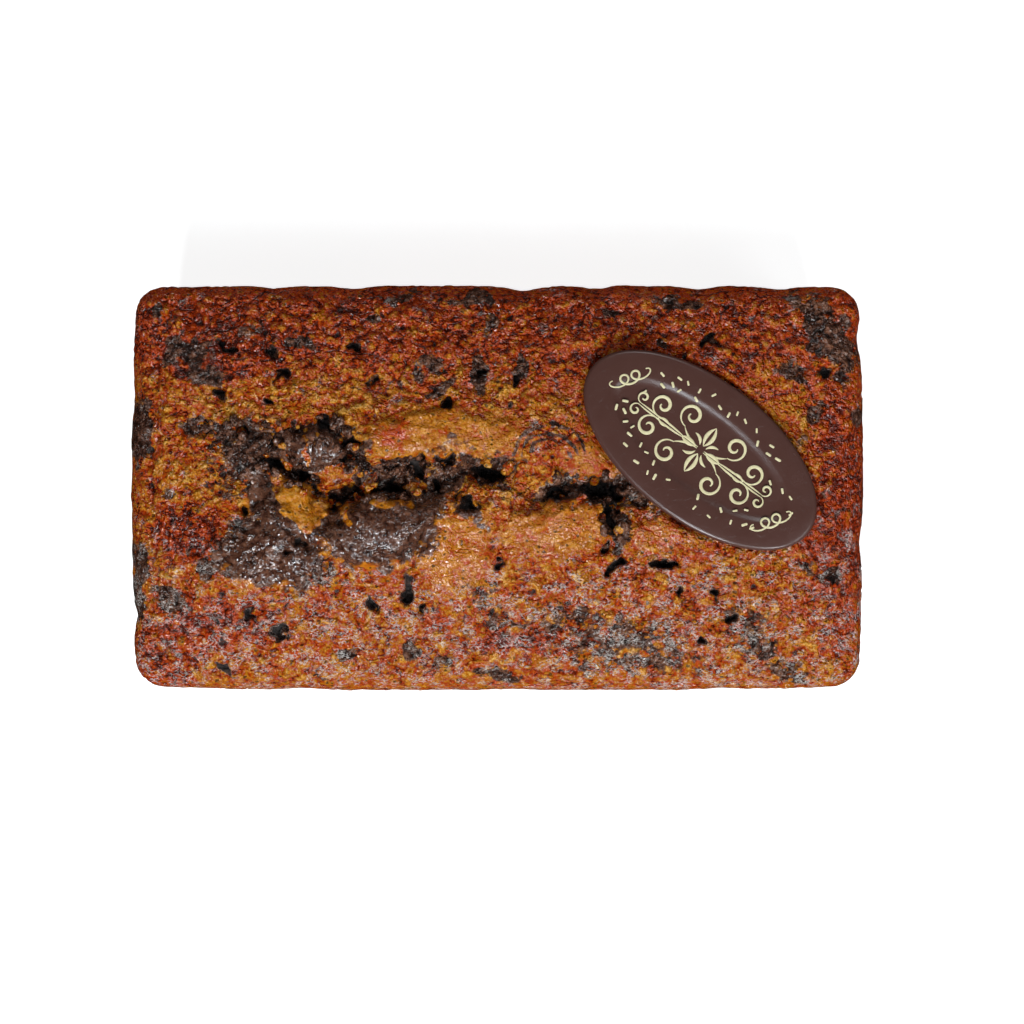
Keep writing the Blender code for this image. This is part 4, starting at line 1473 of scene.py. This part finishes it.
def painted_glint_share(tree, place, drawn_out, coarse, smooth):
    """Painted highlight: pale glints drawn as thin lines in patches, more of them towards the front, where
    the front lights glint, and fewer on smooth skin.
    """
    axes = node(tree, "SeparateXYZ", {"Vector": place}).outputs
    forward = stepped(tree, axes["Y"], 0.012, -0.030)
    net = reckon(tree, "ABSOLUTE", cloud(tree, drawn_out, 0.0009, 2.0))
    patches = cloud(tree, place, 0.0036, 2.0)
    patches = add_up(tree, patches, (forward, 0.18), (coarse["Mottle"], 0.5))
    lines = stepped(tree, net, 0.070, 0.012)
    painted_glints = reckon(tree, "MULTIPLY", stepped(tree, patches, 0.11, 0.31), lines)
    return reckon(tree, "MULTIPLY", painted_glints, add_up(tree, 0.64, (smooth, -0.72)))


def crust_grain_height(tree, coarse, fine, wrinkles, evened, cracks):
    """Faceted grains where the crust is craggy, fine wrinkles where it is smooth, and the cracks."""
    grainy = add_up(tree, coarse["Height"], (fine["Height"], 0.70))
    skin = add_up(tree, 0.0, (wrinkles["Height"], 0.36), (fine["Height"], 0.22))
    both = node(tree, "Mix", {"Factor": evened, "A": grainy, "B": skin}).outputs["Result"]
    return add_up(tree, both, (cracks, -1.3))


def crust_material(group):
    """Marbled crust: vanilla from gold to red-brown, cocoa batter, an oily shine, dark crevices of painted
    shade and pale painted glints.
    """
    material, tree, shader = new_material("marbled_crust")
    place = node(tree, "TexCoord").outputs["Object"]
    coarse = grain(tree, group, stretched(tree, place, 0.8), COARSE_GRAIN)
    fine = grain(tree, group, place, FINE_GRAIN)
    wrinkles = grain(tree, group, stretched(tree, place, 0.6), WRINKLE_GRAIN)
    drawn_out = stretched(tree, place, 0.65)
    smooth = field(tree, "smooth")
    uneven = add_up(tree, 1.0, (smooth, -0.5))
    hollow = hollow_share(tree, coarse)
    cracks = crack_lines(tree, place, drawn_out, smooth)
    cocoa = cocoa_share(tree, place, coarse, uneven)

    vanilla = vanilla_colour(tree, place, coarse, fine, uneven, cracks)
    colour = blend_colours(tree, cocoa, vanilla, cocoa_colour(tree, coarse, fine))
    # Painted shade: the pinholes darken to near black
    pinhole_shade = reckon(tree, "MULTIPLY", coarse["Pinhole"], 0.8)
    colour = blend_colours(tree, pinhole_shade, colour, PINHOLE_SHADE_COLOUR)
    # Painted highlight: pale glint lines laid over the colour
    painted_glints = painted_glint_share(tree, place, drawn_out, coarse, smooth)
    colour = blend_colours(tree, painted_glints, colour, PAINTED_GLINT_COLOUR)
    # Painted shade: the hollows darken towards near black
    depth = ramp(tree, hollow, PAINTED_SHADE_COLOURS)
    colour = blend_colours(tree, reckon(tree, "MULTIPLY", hollow, 0.93), colour, depth)
    tree.links.new(colour, shader.inputs["Base Color"])

    shader.inputs["Specular IOR Level"].default_value = 0.65
    rough = add_up(tree, 0.20, (coarse["Mottle"], 0.40), (smooth, -0.05), (hollow, 0.65))
    tree.links.new(rough, shader.inputs["Roughness"])
    evened = reckon(tree, "MULTIPLY", smooth, add_up(tree, 1.0, (cocoa, 0.3)))
    height = crust_grain_height(tree, coarse, fine, wrinkles, evened, cracks)
    bump = node(tree, "Bump", {"Strength": 1.0, "Distance": CRUST_BUMP, "Height": height})
    tree.links.new(bump.outputs["Normal"], shader.inputs["Normal"])
    return material


def plaque_material(group):
    """Tempered chocolate: smooth and glossy, with a faint mottle and a very fine orange peel."""
    material, tree, shader = new_material("plaque_chocolate")
    place = node(tree, "TexCoord").outputs["Object"]
    peel = grain(tree, group, place, PEEL_GRAIN)
    cloudy = add_up(tree, 0.5, (cloud(tree, place, 0.012, 3.0), 0.6))
    colour = ramp(tree, add_up(tree, cloudy, (peel["Mottle"], 0.3)), PLAQUE_COLOURS)
    tree.links.new(colour, shader.inputs["Base Color"])
    tree.links.new(add_up(tree, 0.25, (peel["Mottle"], 0.12)), shader.inputs["Roughness"])
    bump = node(tree, "Bump", {"Strength": 0.35, "Distance": PEEL_BUMP, "Height": peel["Height"]})
    tree.links.new(bump.outputs["Normal"], shader.inputs["Normal"])
    return material


def print_material(group):
    """Cream cocoa butter print, slightly uneven in tone and gloss."""
    material, tree, shader = new_material("cream_print")
    place = node(tree, "TexCoord").outputs["Object"]
    speckle = grain(tree, group, place, PRINT_GRAIN)
    colour = ramp(tree, reckon(tree, "ADD", speckle["Mottle"], 0.5), PRINT_COLOURS)
    tree.links.new(colour, shader.inputs["Base Color"])
    tree.links.new(add_up(tree, 0.4, (speckle["Mottle"], 0.2)), shader.inputs["Roughness"])
    bump = node(tree, "Bump", {"Strength": 0.4, "Distance": PRINT_BUMP, "Height": speckle["Height"]})
    tree.links.new(bump.outputs["Normal"], shader.inputs["Normal"])
    return material


# Studio


def make_floor():
    bpy.ops.object.select_all(action="DESELECT")
    bpy.ops.mesh.primitive_plane_add(size=4.0, location=(0.0, 0.0, 0.0))
    floor = name_piece("floor")
    material, _, shader = new_material("pale_floor")
    shader.inputs["Base Color"].default_value = (0.55, 0.55, 0.55, 1.0)
    shader.inputs["Roughness"].default_value = 0.9
    shader.inputs["Emission Color"].default_value = (1.0, 1.0, 1.0, 1.0)
    shader.inputs["Emission Strength"].default_value = FLOOR_GLOW
    floor.data.materials.append(material)
    floor.visible_glossy = False


def add_softbox(name, place, size, power, colour):
    """A rectangular softbox that faces the loaf, and that its gloss reflects."""
    light = bpy.data.lights.new(name, "AREA")
    light.shape = "RECTANGLE"
    light.size, light.size_y = size
    light.energy = power
    light.color = colour
    lamp = bpy.data.objects.new(name, light)
    lamp.location = place
    lamp.rotation_euler = (Vector(LIT_POINT) - Vector(place)).to_track_quat("-Z", "Y").to_euler()
    bpy.context.scene.collection.objects.link(lamp)


def light_studio():
    world = bpy.data.worlds.new("studio")
    world.use_nodes = True
    background = world.node_tree.nodes["Background"]
    background.inputs["Color"].default_value = (1.0, 1.0, 1.0, 1.0)
    background.inputs["Strength"].default_value = WORLD_LIGHT
    bpy.context.scene.world = world
    world.cycles_visibility.glossy = False
    for softbox in SOFTBOXES:
        add_softbox(*softbox)


def place_camera():
    camera = bpy.data.cameras.new("camera")
    camera.sensor_width = SENSOR_WIDTH
    camera.lens = SENSOR_WIDTH * (CAMERA_PLACE[2] - SHOULDER_HEIGHT) / FRAME_WIDTH
    camera.clip_start = 0.05
    eye = bpy.data.objects.new("camera", camera)
    eye.location = CAMERA_PLACE
    bpy.context.scene.collection.objects.link(eye)
    bpy.context.scene.camera = eye


def main():
    group = grain_group()
    cream = print_material(group)
    place_camera()
    crust = crust_material(group)
    make_loaf(crust)
    make_torn_crumbs(crust)
    make_plaque(plaque_material(group))
    make_scrolls(cream)
    make_ribbons(cream)
    make_confetti(cream)
    make_floor()
    light_studio()
    bpy.context.scene.view_settings.view_transform = "Standard"


main()
